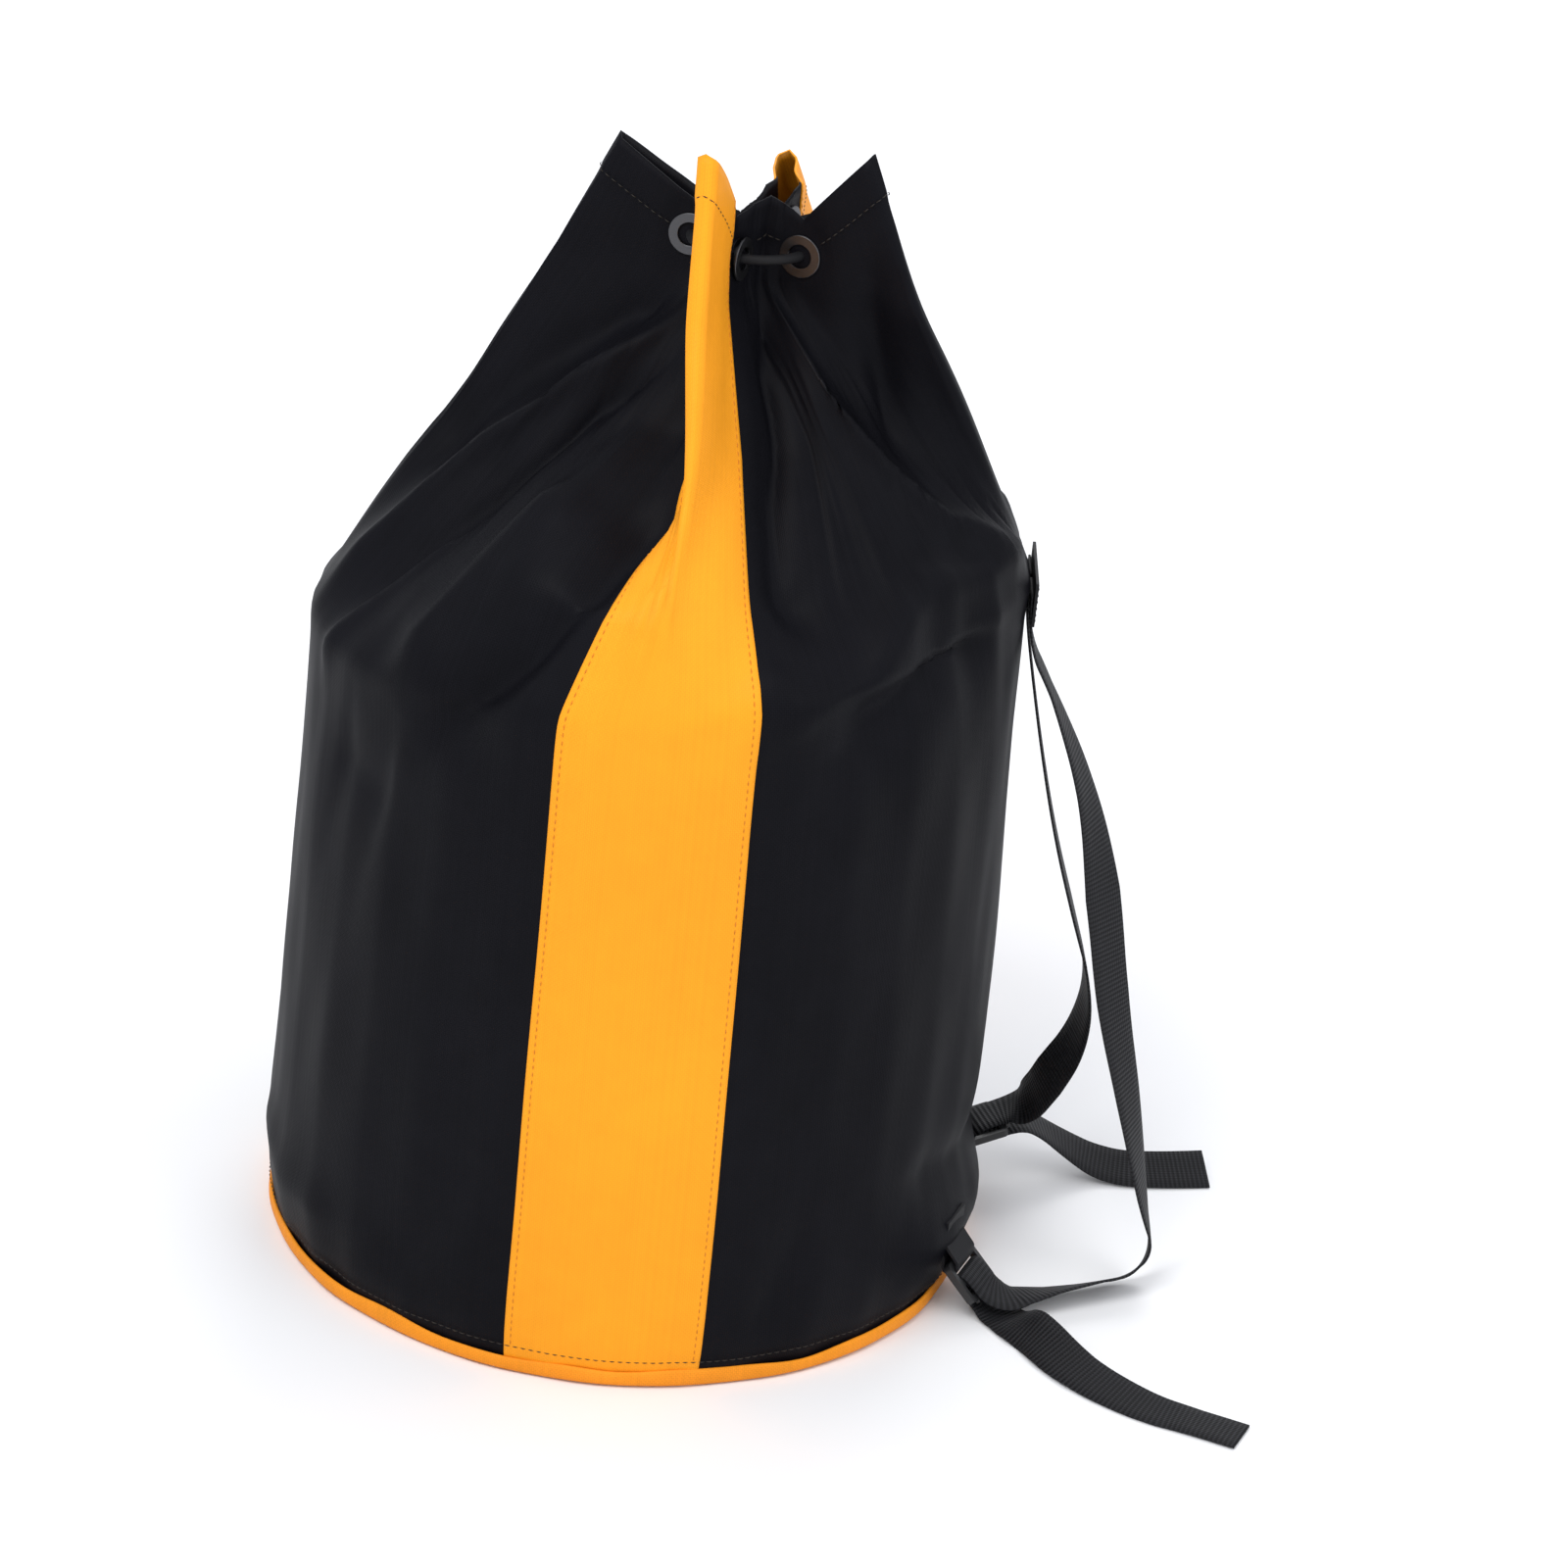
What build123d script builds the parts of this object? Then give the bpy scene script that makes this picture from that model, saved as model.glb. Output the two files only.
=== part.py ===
from build123d import *
import math
import os

# Rope storage bag: a round-bottomed drawstring kit bag with two webbing shoulder straps.
# Millimetres, +Z up.  The origin is the centre of the underside of the base, on the floor.
# The straps are on the +X side and the front stripe faces -Y.

# ---- driving dimensions -------------------------------------------------------------
BASE_RADIUS = 190.0          # the fabric tube at the base
SHOULDER_RADIUS = 182.0      # where the gathered top begins
SHOULDER_HEIGHT = 372.0      # mean height of that line
SHOULDER_TILT = 24.0         # it is this much higher on the strap side
NECK_X = 24.0                # the gathered neck leans towards the straps
NECK_HEIGHT = 540.0          # below this the folds open into the body
EYELET_HEIGHT = 557.0
EYELET_REACH = 30.0          # from the neck axis to an eyelet
VALLEY_REACH = 14.0          # how far out the inward folds stay at the neck
VALLEY_RIM_HEIGHT = 566.0
EYELET_RIM_HEIGHT = 576.0
CLOTH = 2.0                  # wall thickness, fabric with its inner coating and seams
BASE_CLOTH = 2.5
BINDING_HEIGHT = 9.0
STRIPE_HALF_ANGLE = 15.5     # half of the stripe's width, as an angle at the body axis

# One outward fold in the middle of each panel: the panel's direction, then where the
# fold's tip lies about the neck axis (direction, reach, height).
FOLDS = [
    (-90.0, -111.0, 66.0, 617.0),
    (0.0, -24.0, 59.0, 612.0),
    (90.0, 66.0, 66.0, 580.0),
    (180.0, 167.0, 70.0, 599.0),
]
# Columns of the wall on one side of a fold: angle from the fold at the body, how far the
# column lies from the eyelet towards the fold's tip, half the fold's width there.
FLANK = [(1.3, 1.0, 4.0), (8.5, 0.62, 5.2), (15.5, 0.25, 6.8), (22.5, 0.0, 7.0)]
TUCK_ANGLE = 34.0            # a column half way down the inward fold
TUCK_REACH = 19.0
TUCK_HALF_WIDTH = 7.2

EYELET_OUTER = 22.0
EYELET_BORE = 12.0
EYELET_PLATE = 1.0
CORD_DIAMETER = 5.0
CORD_GAP = 6.6               # between the centres of the two tails, side by side

WEBBING_WIDTH = 25.0
WEBBING_THICKNESS = 1.5

PATCH_X = 184.9              # the top anchor patch, over the upper ends of both straps
PATCH_HEIGHT = 386.0
PATCH_SIZE = (1.5, 60.0, 24.0)

BAR = 4.0                    # the ladder locks' bars, square
SLOT = 6.5
BUCKLE_WIDTH = 33.0
STRAP_LIFT = 3.9             # webbing above and below the middle bar, centre to centre
LOOP_TOP = 52.0              # the base loops are sewn to the wall below this height

# Each ladder lock: its direction round the bag, how far it tips down, and where its
# middle bar is (from the body axis, and above the floor).
BUCKLES = {"near": (-21.0, 45.0, 204.0, 19.0), "far": (18.0, -15.0, 206.5, 34.0)}

# The shoulder straps' routes, from the top anchor to the ladder lock, then the tail.
# Each point has the direction that the strap's width takes there.
ACROSS = (0, 1, 0)
LOAD_RUNS = {
    "near": [
        ((183.0, -16.0, 391.0), ACROSS),
        ((183.2, -15.8, 364.0), ACROSS),
        ((200.0, -16.5, 335.0), ACROSS),
        ((225.0, -20.0, 281.0), (0.35, 0.94, 0)),
        ((240.0, -25.0, 223.0), (0.75, 0.66, 0)),
        ((251.0, -30.0, 165.0), (0.70, 0.71, 0)),
        ((267.0, -34.0, 108.0), (0.50, 0.87, 0)),
        ((281.0, -38.0, 52.0), (0.20, 0.98, 0)),
        ((289.5, -39.0, 25.0), (0.05, 0.95, -0.30)),
        ((281.0, -44.0, 9.0), (0.10, 0.86, -0.50)),
        ((257.0, -56.0, 9.0), (0.10, 0.86, -0.50)),
        ((232.0, -67.5, 8.4), (0.34, 0.89, -0.30)),
    ],
    "far": [
        ((183.0, 15.0, 391.0), ACROSS),
        ((183.4, 15.0, 368.0), ACROSS),
        ((189.5, 15.5, 337.0), ACROSS),
        ((201.0, 18.0, 286.0), ACROSS),
        ((214.0, 22.0, 236.0), ACROSS),
        ((229.0, 25.0, 190.0), ACROSS),
        ((244.0, 30.0, 146.0), (-0.10, 0.98, 0.15)),
        ((242.0, 36.0, 108.0), (-0.30, 0.85, 0.42)),
        ((228.0, 45.0, 74.0), (-0.45, 0.60, 0.65)),
        ((223.0, 61.0, 54.0), (-0.42, 0.72, 0.55)),
    ],
}
TAILS = {
    "near": [
        ((212.0, -89.0, 1.5), (0.66, 0.74, 0.05)),
        ((222.0, -108.0, 10.4), (0.62, 0.42, 0.66)),
        ((246.0, -140.0, 5.0), (0.50, 0.80, 0.30)),
        ((281.0, -165.0, 2.2), (0.45, 0.89, 0.10)),
        ((308.0, -174.0, 1.4), (0.38, 0.92, 0)),
        ((331.0, -184.0, 1.4), (0.40, 0.91, 0)),
    ],
    "far": [
        ((226.0, 73.0, 34.0), (-0.25, 0.96, 0.10)),
        ((247.0, 79.0, 18.0), (-0.15, 0.95, 0.27)),
        ((268.0, 79.5, 7.0), (0, 0.92, 0.38)),
        ((293.0, 78.0, 6.2), (0, 0.90, 0.42)),
        ((328.0, 86.0, 6.4), (0, 0.88, 0.45)),
    ],
}

# The drawcord: a ring through all eight eyelets, and two tails that leave it at the
# rear left fold, pass through the cord lock and hang down the back of the bag.
RING_RADIUS = 30.4
RING_ENDS = (83.5, 149.5)
SLIDE_START = (-11.5, 35.7, 526.0)     # the straight stretch, midway between the tails
SLIDE_END = (-53.0, 68.7, 473.4)
TAIL_OFFSET = 3.3                     # from there to each tail
TAIL_STARTS = {
    1: [(27.44, 30.2, 557.0), (13.0, 31.84, 557.0)],
    2: [(-2.19, 15.43, 557.0), (3.14, 24.47, 557.0), (-1.5, 29.5, 545.0)],
}
TAIL_ENDS = {
    1: [
        (-82.0, 99.5, 427.5), (-112.0, 123.5, 388.5), (-134.5, 138.0, 348.0),
        (-128.5, 144.0, 298.0), (-123.0, 148.0, 245.0), (-125.5, 147.5, 190.0),
        (-122.5, 151.0, 135.0), (-125.5, 149.5, 85.0), (-124.0, 151.5, 50.0),
    ],
    2: [
        (-91.5, 90.5, 428.0), (-121.5, 115.5, 387.0), (-142.5, 131.5, 345.0),
        (-146.0, 123.0, 296.0), (-149.0, 120.0, 240.0), (-147.0, 124.0, 185.0),
        (-151.5, 121.5, 130.0), (-150.0, 124.5, 92.0),
    ],
}
KNOT_DIAMETER = 13.0

# The cord lock lies across the tails.  Along its barrel: the tails pass at zero.
LOCK_DIAMETER = 16.0
LOCK_CLOSED_END = -18.0
LOCK_OPEN_END = 10.0
LOCK_BORE = 12.6
LOCK_FLOOR = -16.0
LOCK_START = 0.30                     # its place on the straight stretch, as a share
PLUNGER_DIAMETER = 12.0
PLUNGER_INNER_END = -8.2
PLUNGER_OUTER_END = 15.5
PLUNGER_TRAVEL = 4.0
CORD_SLOT = 12.4                      # both tails side by side, with clearance
SPRING_DIAMETER = 10.0
SPRING_WIRE = 0.8


def direction(angle):
    return Vector(math.cos(math.radians(angle)), math.sin(math.radians(angle)), 0)


# ---- the fabric wall ----------------------------------------------------------------
def columns():
    """The wall's vertical lines, in order round the bag: (fold, side, angle, kind)."""
    lines = []
    for fold, (panel, *_) in enumerate(FOLDS):
        lines.append((fold, -1, panel - 45.0, "valley"))
        lines.append((fold, -1, panel - TUCK_ANGLE, "tuck"))
        lines += [(fold, -1, panel - angle, k) for k, (angle, *_) in reversed(list(enumerate(FLANK)))]
        lines += [(fold, 1, panel + angle, k) for k, (angle, *_) in enumerate(FLANK)]
        lines.append((fold, 1, panel + TUCK_ANGLE, "tuck"))
    return lines


def shoulder_height(angle):
    return SHOULDER_HEIGHT + SHOULDER_TILT * math.cos(math.radians(angle))


def gathered(fold, side, kind, skin, at_rim):
    """A column's point at the neck or at the rim.  skin is the depth inside the outer face."""
    panel, neck_angle, tip_reach, tip_height = FOLDS[fold]
    along = direction(neck_angle)
    across = direction(neck_angle + 90.0)
    if kind == "valley":
        before = FOLDS[fold - 1][1]
        middle = before + ((neck_angle - before) % 360.0) / 2
        reach = VALLEY_REACH - skin
        height = VALLEY_RIM_HEIGHT if at_rim else NECK_HEIGHT
        return Vector(NECK_X, 0, height) + direction(middle) * reach
    if kind == "tuck":
        reach = TUCK_REACH - 0.4 * skin
        offset = TUCK_HALF_WIDTH - skin
        height = (VALLEY_RIM_HEIGHT + EYELET_RIM_HEIGHT) / 2
    else:
        share, half_width = FLANK[kind][1:]
        body_slope = (tip_height - NECK_HEIGHT) / (tip_height - SHOULDER_HEIGHT)
        tip = tip_reach if at_rim else tip_reach + (SHOULDER_RADIUS - tip_reach) * body_slope
        reach = EYELET_REACH + share * (tip - EYELET_REACH) - (1.5 * skin if kind == 0 else 0)
        offset = half_width - skin
        height = EYELET_RIM_HEIGHT + share * (tip_height - EYELET_RIM_HEIGHT)
    if not at_rim:
        height = NECK_HEIGHT
    return Vector(NECK_X, 0, height) + along * reach + across * (side * offset)


def wall_line(column, skin):
    """One column of points from the base to the rim."""
    fold, side, angle, kind = column
    out = direction(angle)
    top = shoulder_height(angle)
    points = []
    for share in (0.0, 0.33, 0.67):
        height = BASE_CLOTH + share * (top - BASE_CLOTH)
        radius = BASE_RADIUS + share * (SHOULDER_RADIUS - BASE_RADIUS)
        points.append(out * (radius - skin) + Vector(0, 0, height))
    shoulder = out * (SHOULDER_RADIUS - skin) + Vector(0, 0, top)
    neck = gathered(fold, side, kind, skin, at_rim=False)
    points += [shoulder + (neck - shoulder) * share for share in (0.0, 0.35, 0.7, 1.0)]
    points.append(gathered(fold, side, kind, skin, at_rim=True))
    return points


def triangles(a, b, c, d):
    """The four-sided patch a-b-c-d as two flat faces."""
    return [Face(Wire.make_polygon([a, b, c])), Face(Wire.make_polygon([a, c, d]))]


def sheet_solid(outer, inner):
    """A closed solid between two grids of points, outer[column][row] and inner[column][row]."""
    faces = []
    for i in range(len(outer) - 1):
        for j in range(len(outer[0]) - 1):
            faces += triangles(outer[i][j], outer[i + 1][j], outer[i + 1][j + 1], outer[i][j + 1])
            faces += triangles(inner[i][j], inner[i][j + 1], inner[i + 1][j + 1], inner[i + 1][j])
        faces += triangles(outer[i][0], inner[i][0], inner[i + 1][0], outer[i + 1][0])
        faces += triangles(outer[i][-1], outer[i + 1][-1], inner[i + 1][-1], inner[i][-1])
    for i, turn in ((0, False), (-1, True)):
        for j in range(len(outer[0]) - 1):
            low = (outer[i][j], inner[i][j])
            high = (outer[i][j + 1], inner[i][j + 1])
            if turn:
                faces += triangles(low[0], low[1], high[1], high[0])
            else:
                faces += triangles(low[0], high[0], high[1], low[1])
    return Solid(Shell(faces))


def panel(start, end):
    """The wall between two directions round the bag."""
    turns = [(line, line[2] + whole) for whole in (-360.0, 0.0, 360.0) for line in columns()]
    chosen = [line for line, angle in turns if start - 0.01 <= angle <= end + 0.01]
    outer = [wall_line(line, 0.0) for line in chosen]
    inner = [wall_line(line, CLOTH) for line in chosen]
    return sheet_solid(outer, inner)


# ---- eyelets ------------------------------------------------------------------------
def eyelet_places():
    """Every eyelet: a plane on the outer face of its fold, its normal pointing away from it."""
    places = []
    for _, neck_angle, *_ in FOLDS:
        for side in (-1, 1):
            across = direction(neck_angle + 90.0) * side
            centre = Vector(NECK_X, 0, EYELET_HEIGHT) + direction(neck_angle) * EYELET_REACH
            centre += across * FLANK[-1][2]
            places.append(Plane(origin=centre, x_dir=(0, 0, 1), z_dir=across))
    return places


def ring(outer, bore, low, high):
    disc = Cylinder(outer / 2, high - low, align=(Align.CENTER, Align.CENTER, Align.MIN))
    hole = Cylinder(bore / 2, high - low, align=(Align.CENTER, Align.CENTER, Align.MIN))
    return Pos(0, 0, low) * (disc - hole)


def eyelet():
    """The flanged half, with the barrel that goes through the cloth."""
    flange = ring(EYELET_OUTER, EYELET_BORE, 0.3, 0.3 + EYELET_PLATE)
    rims = flange.edges().filter_by(GeomType.CIRCLE).group_by(Axis.Z)[-1]
    flange = fillet(rims, EYELET_PLATE * 0.45)
    barrel = ring(EYELET_BORE + 1.0, EYELET_BORE, -CLOTH - 1.2, 0.3)
    return flange + barrel


def eyelet_washer():
    """The ring on the inside of the cloth, which the barrel is rolled over."""
    return ring(EYELET_OUTER - 2.0, EYELET_BORE + 1.2, -CLOTH - 1.2, -CLOTH - 0.4)


def pierced(wall):
    """The wall with the holes that the eyelets' barrels pass through."""
    for place in eyelet_places():
        wall = wall - place * ring(EYELET_BORE + 1.4, 0.2, -CLOTH - 1.5, 1.5)
        wall = wall - place * Cylinder(0.3, 8.0)
    return wall


# ---- base ---------------------------------------------------------------------------
def base_panel():
    return Cylinder(BASE_RADIUS, BASE_CLOTH, align=(Align.CENTER, Align.CENTER, Align.MIN))


def base_binding():
    """The folded tape that covers the seam between the base and the wall."""
    section = Pos(BASE_RADIUS + 1.4, BINDING_HEIGHT / 2) * RectangleRounded(2.0, BINDING_HEIGHT, 0.9)
    return revolve(Plane.XZ * section, Axis.Z)


# ---- cords and webbing --------------------------------------------------------------
def arc_radii(route):
    """Each corner's radius: 0.45 of its shorter run over the tangent of half its turn."""
    radii = []
    for before, corner, after in zip(route, route[1:], route[2:]):
        turn = (corner - before).get_angle(after - corner)
        shorter = min((corner - before).length, (after - corner).length)
        radii.append(0.45 * shorter / math.tan(math.radians(turn / 2)))
    return radii


def smooth_path(name, route):
    radii = arc_radii(route)
    path = FilletPolyline(*route, radius=radii)
    print(name, "length", round(path.length), "radii", [round(radius) for radius in radii])
    return path


def round_cord(name, path):
    """A tube along a path, with its volume compared with its section times its length."""
    section = Plane(origin=path @ 0, z_dir=path % 0) * Circle(CORD_DIAMETER / 2)
    tube = sweep(section, path=path)
    expected = math.pi * CORD_DIAMETER ** 2 / 4 * path.length
    print(name, "volume share", round(tube.volume / expected, 3))
    return tube


def width_at(share, route, widths):
    """The direction of a strap's width, turning evenly between the route's points."""
    gaps = [(after - before).length for before, after in zip(route, route[1:])]
    travelled = share * sum(gaps)
    index = 0
    while index < len(gaps) - 1 and travelled > gaps[index]:
        travelled -= gaps[index]
        index += 1
    blend = min(travelled / gaps[index], 1.0)
    return widths[index] * (1 - blend) + widths[index + 1] * blend


def webbing(name, route, widths, steps):
    """A flat strap: a slim box section carried along the route and turned with its width."""
    path = smooth_path(name, route)
    front = []
    back = []
    for step in range(steps + 1):
        place = path @ (step / steps)
        forward = path % (step / steps)
        width = width_at(step / steps, route, widths)
        width = (width - forward * width.dot(forward)).normalized() * (WEBBING_WIDTH / 2)
        half = forward.cross(width).normalized() * (WEBBING_THICKNESS / 2)
        front.append([place - width + half, place + width + half])
        back.append([place - width - half, place + width - half])
    strap = sheet_solid(front, back)
    expected = WEBBING_WIDTH * WEBBING_THICKNESS * path.length
    print(name, "volume share", round(strap.volume / expected, 3))
    return strap


# ---- ladder locks and the loops that hold them -----------------------------------------
def buckle_frame(side):
    """Origin on the middle bar, x out along the buckle, z out of its upper face."""
    angle, tip, radius, height = BUCKLES[side]
    down = math.radians(tip)
    out = direction(angle)
    up = Vector(0, 0, 1)
    along = out * math.cos(down) - up * math.sin(down)
    normal = out * math.sin(down) + up * math.cos(down)
    return Plane(origin=out * radius + up * height, x_dir=along, z_dir=normal)


def ladder_lock(side):
    length = 3 * BAR + 2 * SLOT
    plan = RectangleRounded(length, BUCKLE_WIDTH, 3.0)
    for place in (-1, 1):
        plan -= Pos(place * (BAR + SLOT) / 2, 0) * RectangleRounded(SLOT, WEBBING_WIDTH + 2.0, 1.0)
    frame = extrude(plan, BAR / 2, both=True)
    tab = Pos(length / 2 + 0.5, 0, 0) * Box(4.0, 20.0, 2.4)
    return buckle_frame(side) * (frame + fillet(tab.edges().filter_by(Axis.Z), 1.0))


def base_loop(side):
    """A doubled piece of webbing, sewn to the wall and folded round the ladder lock's end bar."""
    angle = BUCKLES[side][0]
    bar = buckle_frame(side).from_local_coords(Vector(-(BAR + SLOT), 0, 0))
    reach = math.hypot(bar.X, bar.Y)
    wall = BASE_RADIUS + 0.9
    near = reach - STRAP_LIFT
    far = reach + STRAP_LIFT
    low = bar.Z - STRAP_LIFT
    points = [
        (wall, LOOP_TOP), (wall, bar.Z + 9.0), (near, bar.Z + 2.0), (near, low),
        (far, low), (far, bar.Z + 3.0), (wall + 1.7, bar.Z + 12.0), (wall + 1.7, LOOP_TOP),
    ]
    line = FilletPolyline(*points, radius=[6.0, 1.5, 3.4, 3.4, 3.0, 6.0])
    profile = trace(line, WEBBING_THICKNESS)
    strip = extrude(Plane.XZ * profile, WEBBING_WIDTH / 2, both=True)
    return Rot(0, 0, angle) * strip


def strap_patch():
    """The reinforcement that both straps' upper ends are sewn under."""
    plate = Box(*PATCH_SIZE)
    return Pos(PATCH_X, 0, PATCH_HEIGHT) * fillet(plate.edges().filter_by(Axis.X), 2.0)


def shoulder_strap(side):
    frame = buckle_frame(side)
    turn = [(20.0, STRAP_LIFT), (-STRAP_LIFT, STRAP_LIFT), (-STRAP_LIFT, -STRAP_LIFT), (19.0, -STRAP_LIFT)]
    wrap = [(frame.from_local_coords(Vector(x, 0, z)), frame.y_dir) for x, z in turn]
    load = [(Vector(*point), Vector(*width)) for point, width in LOAD_RUNS[side]]
    tail = [(Vector(*point), Vector(*width)) for point, width in TAILS[side]]
    stops = load + wrap + tail
    route = [point for point, _ in stops]
    widths = [width for _, width in stops]
    return webbing("shoulder_strap_" + side, route, widths, steps=150)


# ---- drawcord and its lock -----------------------------------------------------------------
def slide_plane(share):
    """A place on the straight stretch: x along the lock's barrel, z out of the bag, y down the cords."""
    start = Vector(*SLIDE_START)
    end = Vector(*SLIDE_END)
    down = (end - start).normalized()
    across = down.cross(Vector(0, 0, 1)).normalized()
    return Plane(origin=start + (end - start) * share, x_dir=across, z_dir=across.cross(down))


def drawcord_ring():
    start, end = RING_ENDS
    centre = Plane(origin=(NECK_X, 0, EYELET_HEIGHT))
    path = centre * CenterArc((0, 0), RING_RADIUS, end, 360.0 - (end - start))
    return round_cord("drawcord_ring", path)


def drawcord_tail(number):
    side = 1 if number == 1 else -1
    straight = []
    for share in (0.0, 1.0):
        place = slide_plane(share)
        straight.append(place.origin + place.x_dir * (side * TAIL_OFFSET))
    start = [Vector(*point) for point in TAIL_STARTS[number]]
    end = [Vector(*point) for point in TAIL_ENDS[number]]
    name = f"drawcord_tail_{number}"
    return round_cord(name, smooth_path(name, start + straight + end))


def cord_knot(number):
    before, last = [Vector(*point) for point in TAIL_ENDS[number][-2:]]
    along = (last - before).normalized()
    ball = Sphere(KNOT_DIAMETER / 2)
    seat = Pos(0, 0, -KNOT_DIAMETER / 2) * Box(KNOT_DIAMETER, KNOT_DIAMETER, 1.2)
    return Plane(origin=last + along * (KNOT_DIAMETER / 2 - 0.6), z_dir=along) * (ball - seat)


def barrel(diameter, low, high):
    """A round bar along x."""
    bar = Cylinder(diameter / 2, high - low, align=(Align.CENTER, Align.CENTER, Align.MIN))
    return Pos(low, 0, 0) * Rot(0, 90, 0) * bar


def cord_slot(low, high, height):
    return Pos((low + high) / 2, 0, 0) * Box(high - low, 2 * LOCK_DIAMETER, height)


def cord_lock_body():
    shell = barrel(LOCK_DIAMETER, LOCK_CLOSED_END, LOCK_OPEN_END)
    shell = fillet(shell.edges().filter_by(GeomType.CIRCLE), 1.2)
    shell -= barrel(LOCK_BORE, LOCK_FLOOR, LOCK_OPEN_END + 1.0)
    shell -= cord_slot(-CORD_SLOT / 2, CORD_SLOT / 2, CORD_DIAMETER + 0.8)
    return slide_plane(LOCK_START) * shell


def cord_lock_plunger():
    button = barrel(PLUNGER_DIAMETER, PLUNGER_INNER_END, PLUNGER_OUTER_END)
    button = fillet(button.edges().filter_by(GeomType.CIRCLE).group_by(Axis.X)[-1], 2.0)
    inner = -CORD_SLOT / 2 + 0.1
    outer = CORD_SLOT / 2 + PLUNGER_TRAVEL
    button -= cord_slot(inner, outer, CORD_DIAMETER + 0.8)
    return slide_plane(LOCK_START) * button


def cord_lock_spring():
    """The coil between the barrel's floor and the plunger."""
    height = PLUNGER_INNER_END - LOCK_FLOOR - 0.2
    pitch = height / 4.0
    radius = (SPRING_DIAMETER - SPRING_WIRE) / 2
    turns = Helix(pitch=pitch, height=height - SPRING_WIRE, radius=radius)
    section = Plane(origin=turns @ 0, z_dir=turns % 0) * Circle(SPRING_WIRE / 2)
    coil = sweep(section, path=turns, is_frenet=True)
    shift = LOCK_FLOOR + 0.1 + SPRING_WIRE / 2
    return slide_plane(LOCK_START) * (Pos(shift, 0, 0) * Rot(0, 90, 0) * coil)


def write(name, shape):
    export_step(shape, os.path.join("parts", name + ".step"))


def main():
    os.makedirs("parts", exist_ok=True)
    half = STRIPE_HALF_ANGLE
    write("base_panel", base_panel())
    write("base_binding", base_binding())
    write("stripe_front", pierced(panel(-90 - half, -90 + half)))
    write("side_panel_right", pierced(panel(-90 + half, 90 - half)))
    write("stripe_rear", pierced(panel(90 - half, 90 + half)))
    write("side_panel_left", pierced(panel(90 + half, 270 - half)))
    for number, place in enumerate(eyelet_places(), start=1):
        write(f"eyelet_{number}", place * eyelet())
        write(f"eyelet_washer_{number}", place * eyelet_washer())
    write("drawcord_ring", drawcord_ring())
    for number in (1, 2):
        write(f"drawcord_tail_{number}", drawcord_tail(number))
        write(f"cord_knot_{number}", cord_knot(number))
    write("cord_lock_body", cord_lock_body())
    write("cord_lock_plunger", cord_lock_plunger())
    write("cord_lock_spring", cord_lock_spring())
    write("strap_patch", strap_patch())
    for side in BUCKLES:
        write(f"shoulder_strap_{side}", shoulder_strap(side))
        write(f"ladder_lock_{side}", ladder_lock(side))
        write(f"base_loop_{side}", base_loop(side))
    start = slide_plane(LOCK_START)
    print("lock at", start.origin, "slides along", -start.y_dir, "button axis", start.x_dir)


main()
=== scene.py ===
import math

import bpy
import numpy as np
from mathutils import Matrix, Vector


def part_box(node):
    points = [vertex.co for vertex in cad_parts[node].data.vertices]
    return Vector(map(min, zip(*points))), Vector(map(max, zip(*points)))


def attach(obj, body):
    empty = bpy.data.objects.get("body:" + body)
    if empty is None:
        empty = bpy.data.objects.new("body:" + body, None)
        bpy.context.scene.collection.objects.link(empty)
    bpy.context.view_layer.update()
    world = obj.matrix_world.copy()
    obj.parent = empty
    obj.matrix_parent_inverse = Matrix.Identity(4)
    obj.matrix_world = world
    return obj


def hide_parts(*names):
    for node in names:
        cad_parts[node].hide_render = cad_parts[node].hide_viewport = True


bl_info = {
    "name": "Rope Storage Bag",
    "version": (1, 0, 0),
    "blender": (4, 5, 0),
    "location": "3D View > Sidebar > Rope Bag",
    "description": "Sews, stuffs and dresses a drawstring rope bag round its packed frame",
    "category": "Object",
}

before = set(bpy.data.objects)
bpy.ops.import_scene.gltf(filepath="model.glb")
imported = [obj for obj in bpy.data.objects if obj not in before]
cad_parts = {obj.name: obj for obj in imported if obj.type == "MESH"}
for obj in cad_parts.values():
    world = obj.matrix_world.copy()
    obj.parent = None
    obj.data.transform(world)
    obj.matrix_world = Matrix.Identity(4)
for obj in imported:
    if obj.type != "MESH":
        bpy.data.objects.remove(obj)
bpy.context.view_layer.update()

BASE_RADIUS = float(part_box("base_panel")[1][0])
PATCH_LOW, PATCH_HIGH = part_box("strap_patch")
FOLD_PANELS = (-90.0, 0.0, 90.0, 180.0)     # the panels' middles, as directions round the bag


# ---- settings -------------------------------------------------------------------------
def size_setting(name, description, default):
    return bpy.props.FloatProperty(name=name, description=description, default=default, unit="LENGTH")


def colour_setting(name, description, default):
    return bpy.props.FloatVectorProperty(
        name=name, description=description, default=default, subtype="COLOR", size=3)


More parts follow.
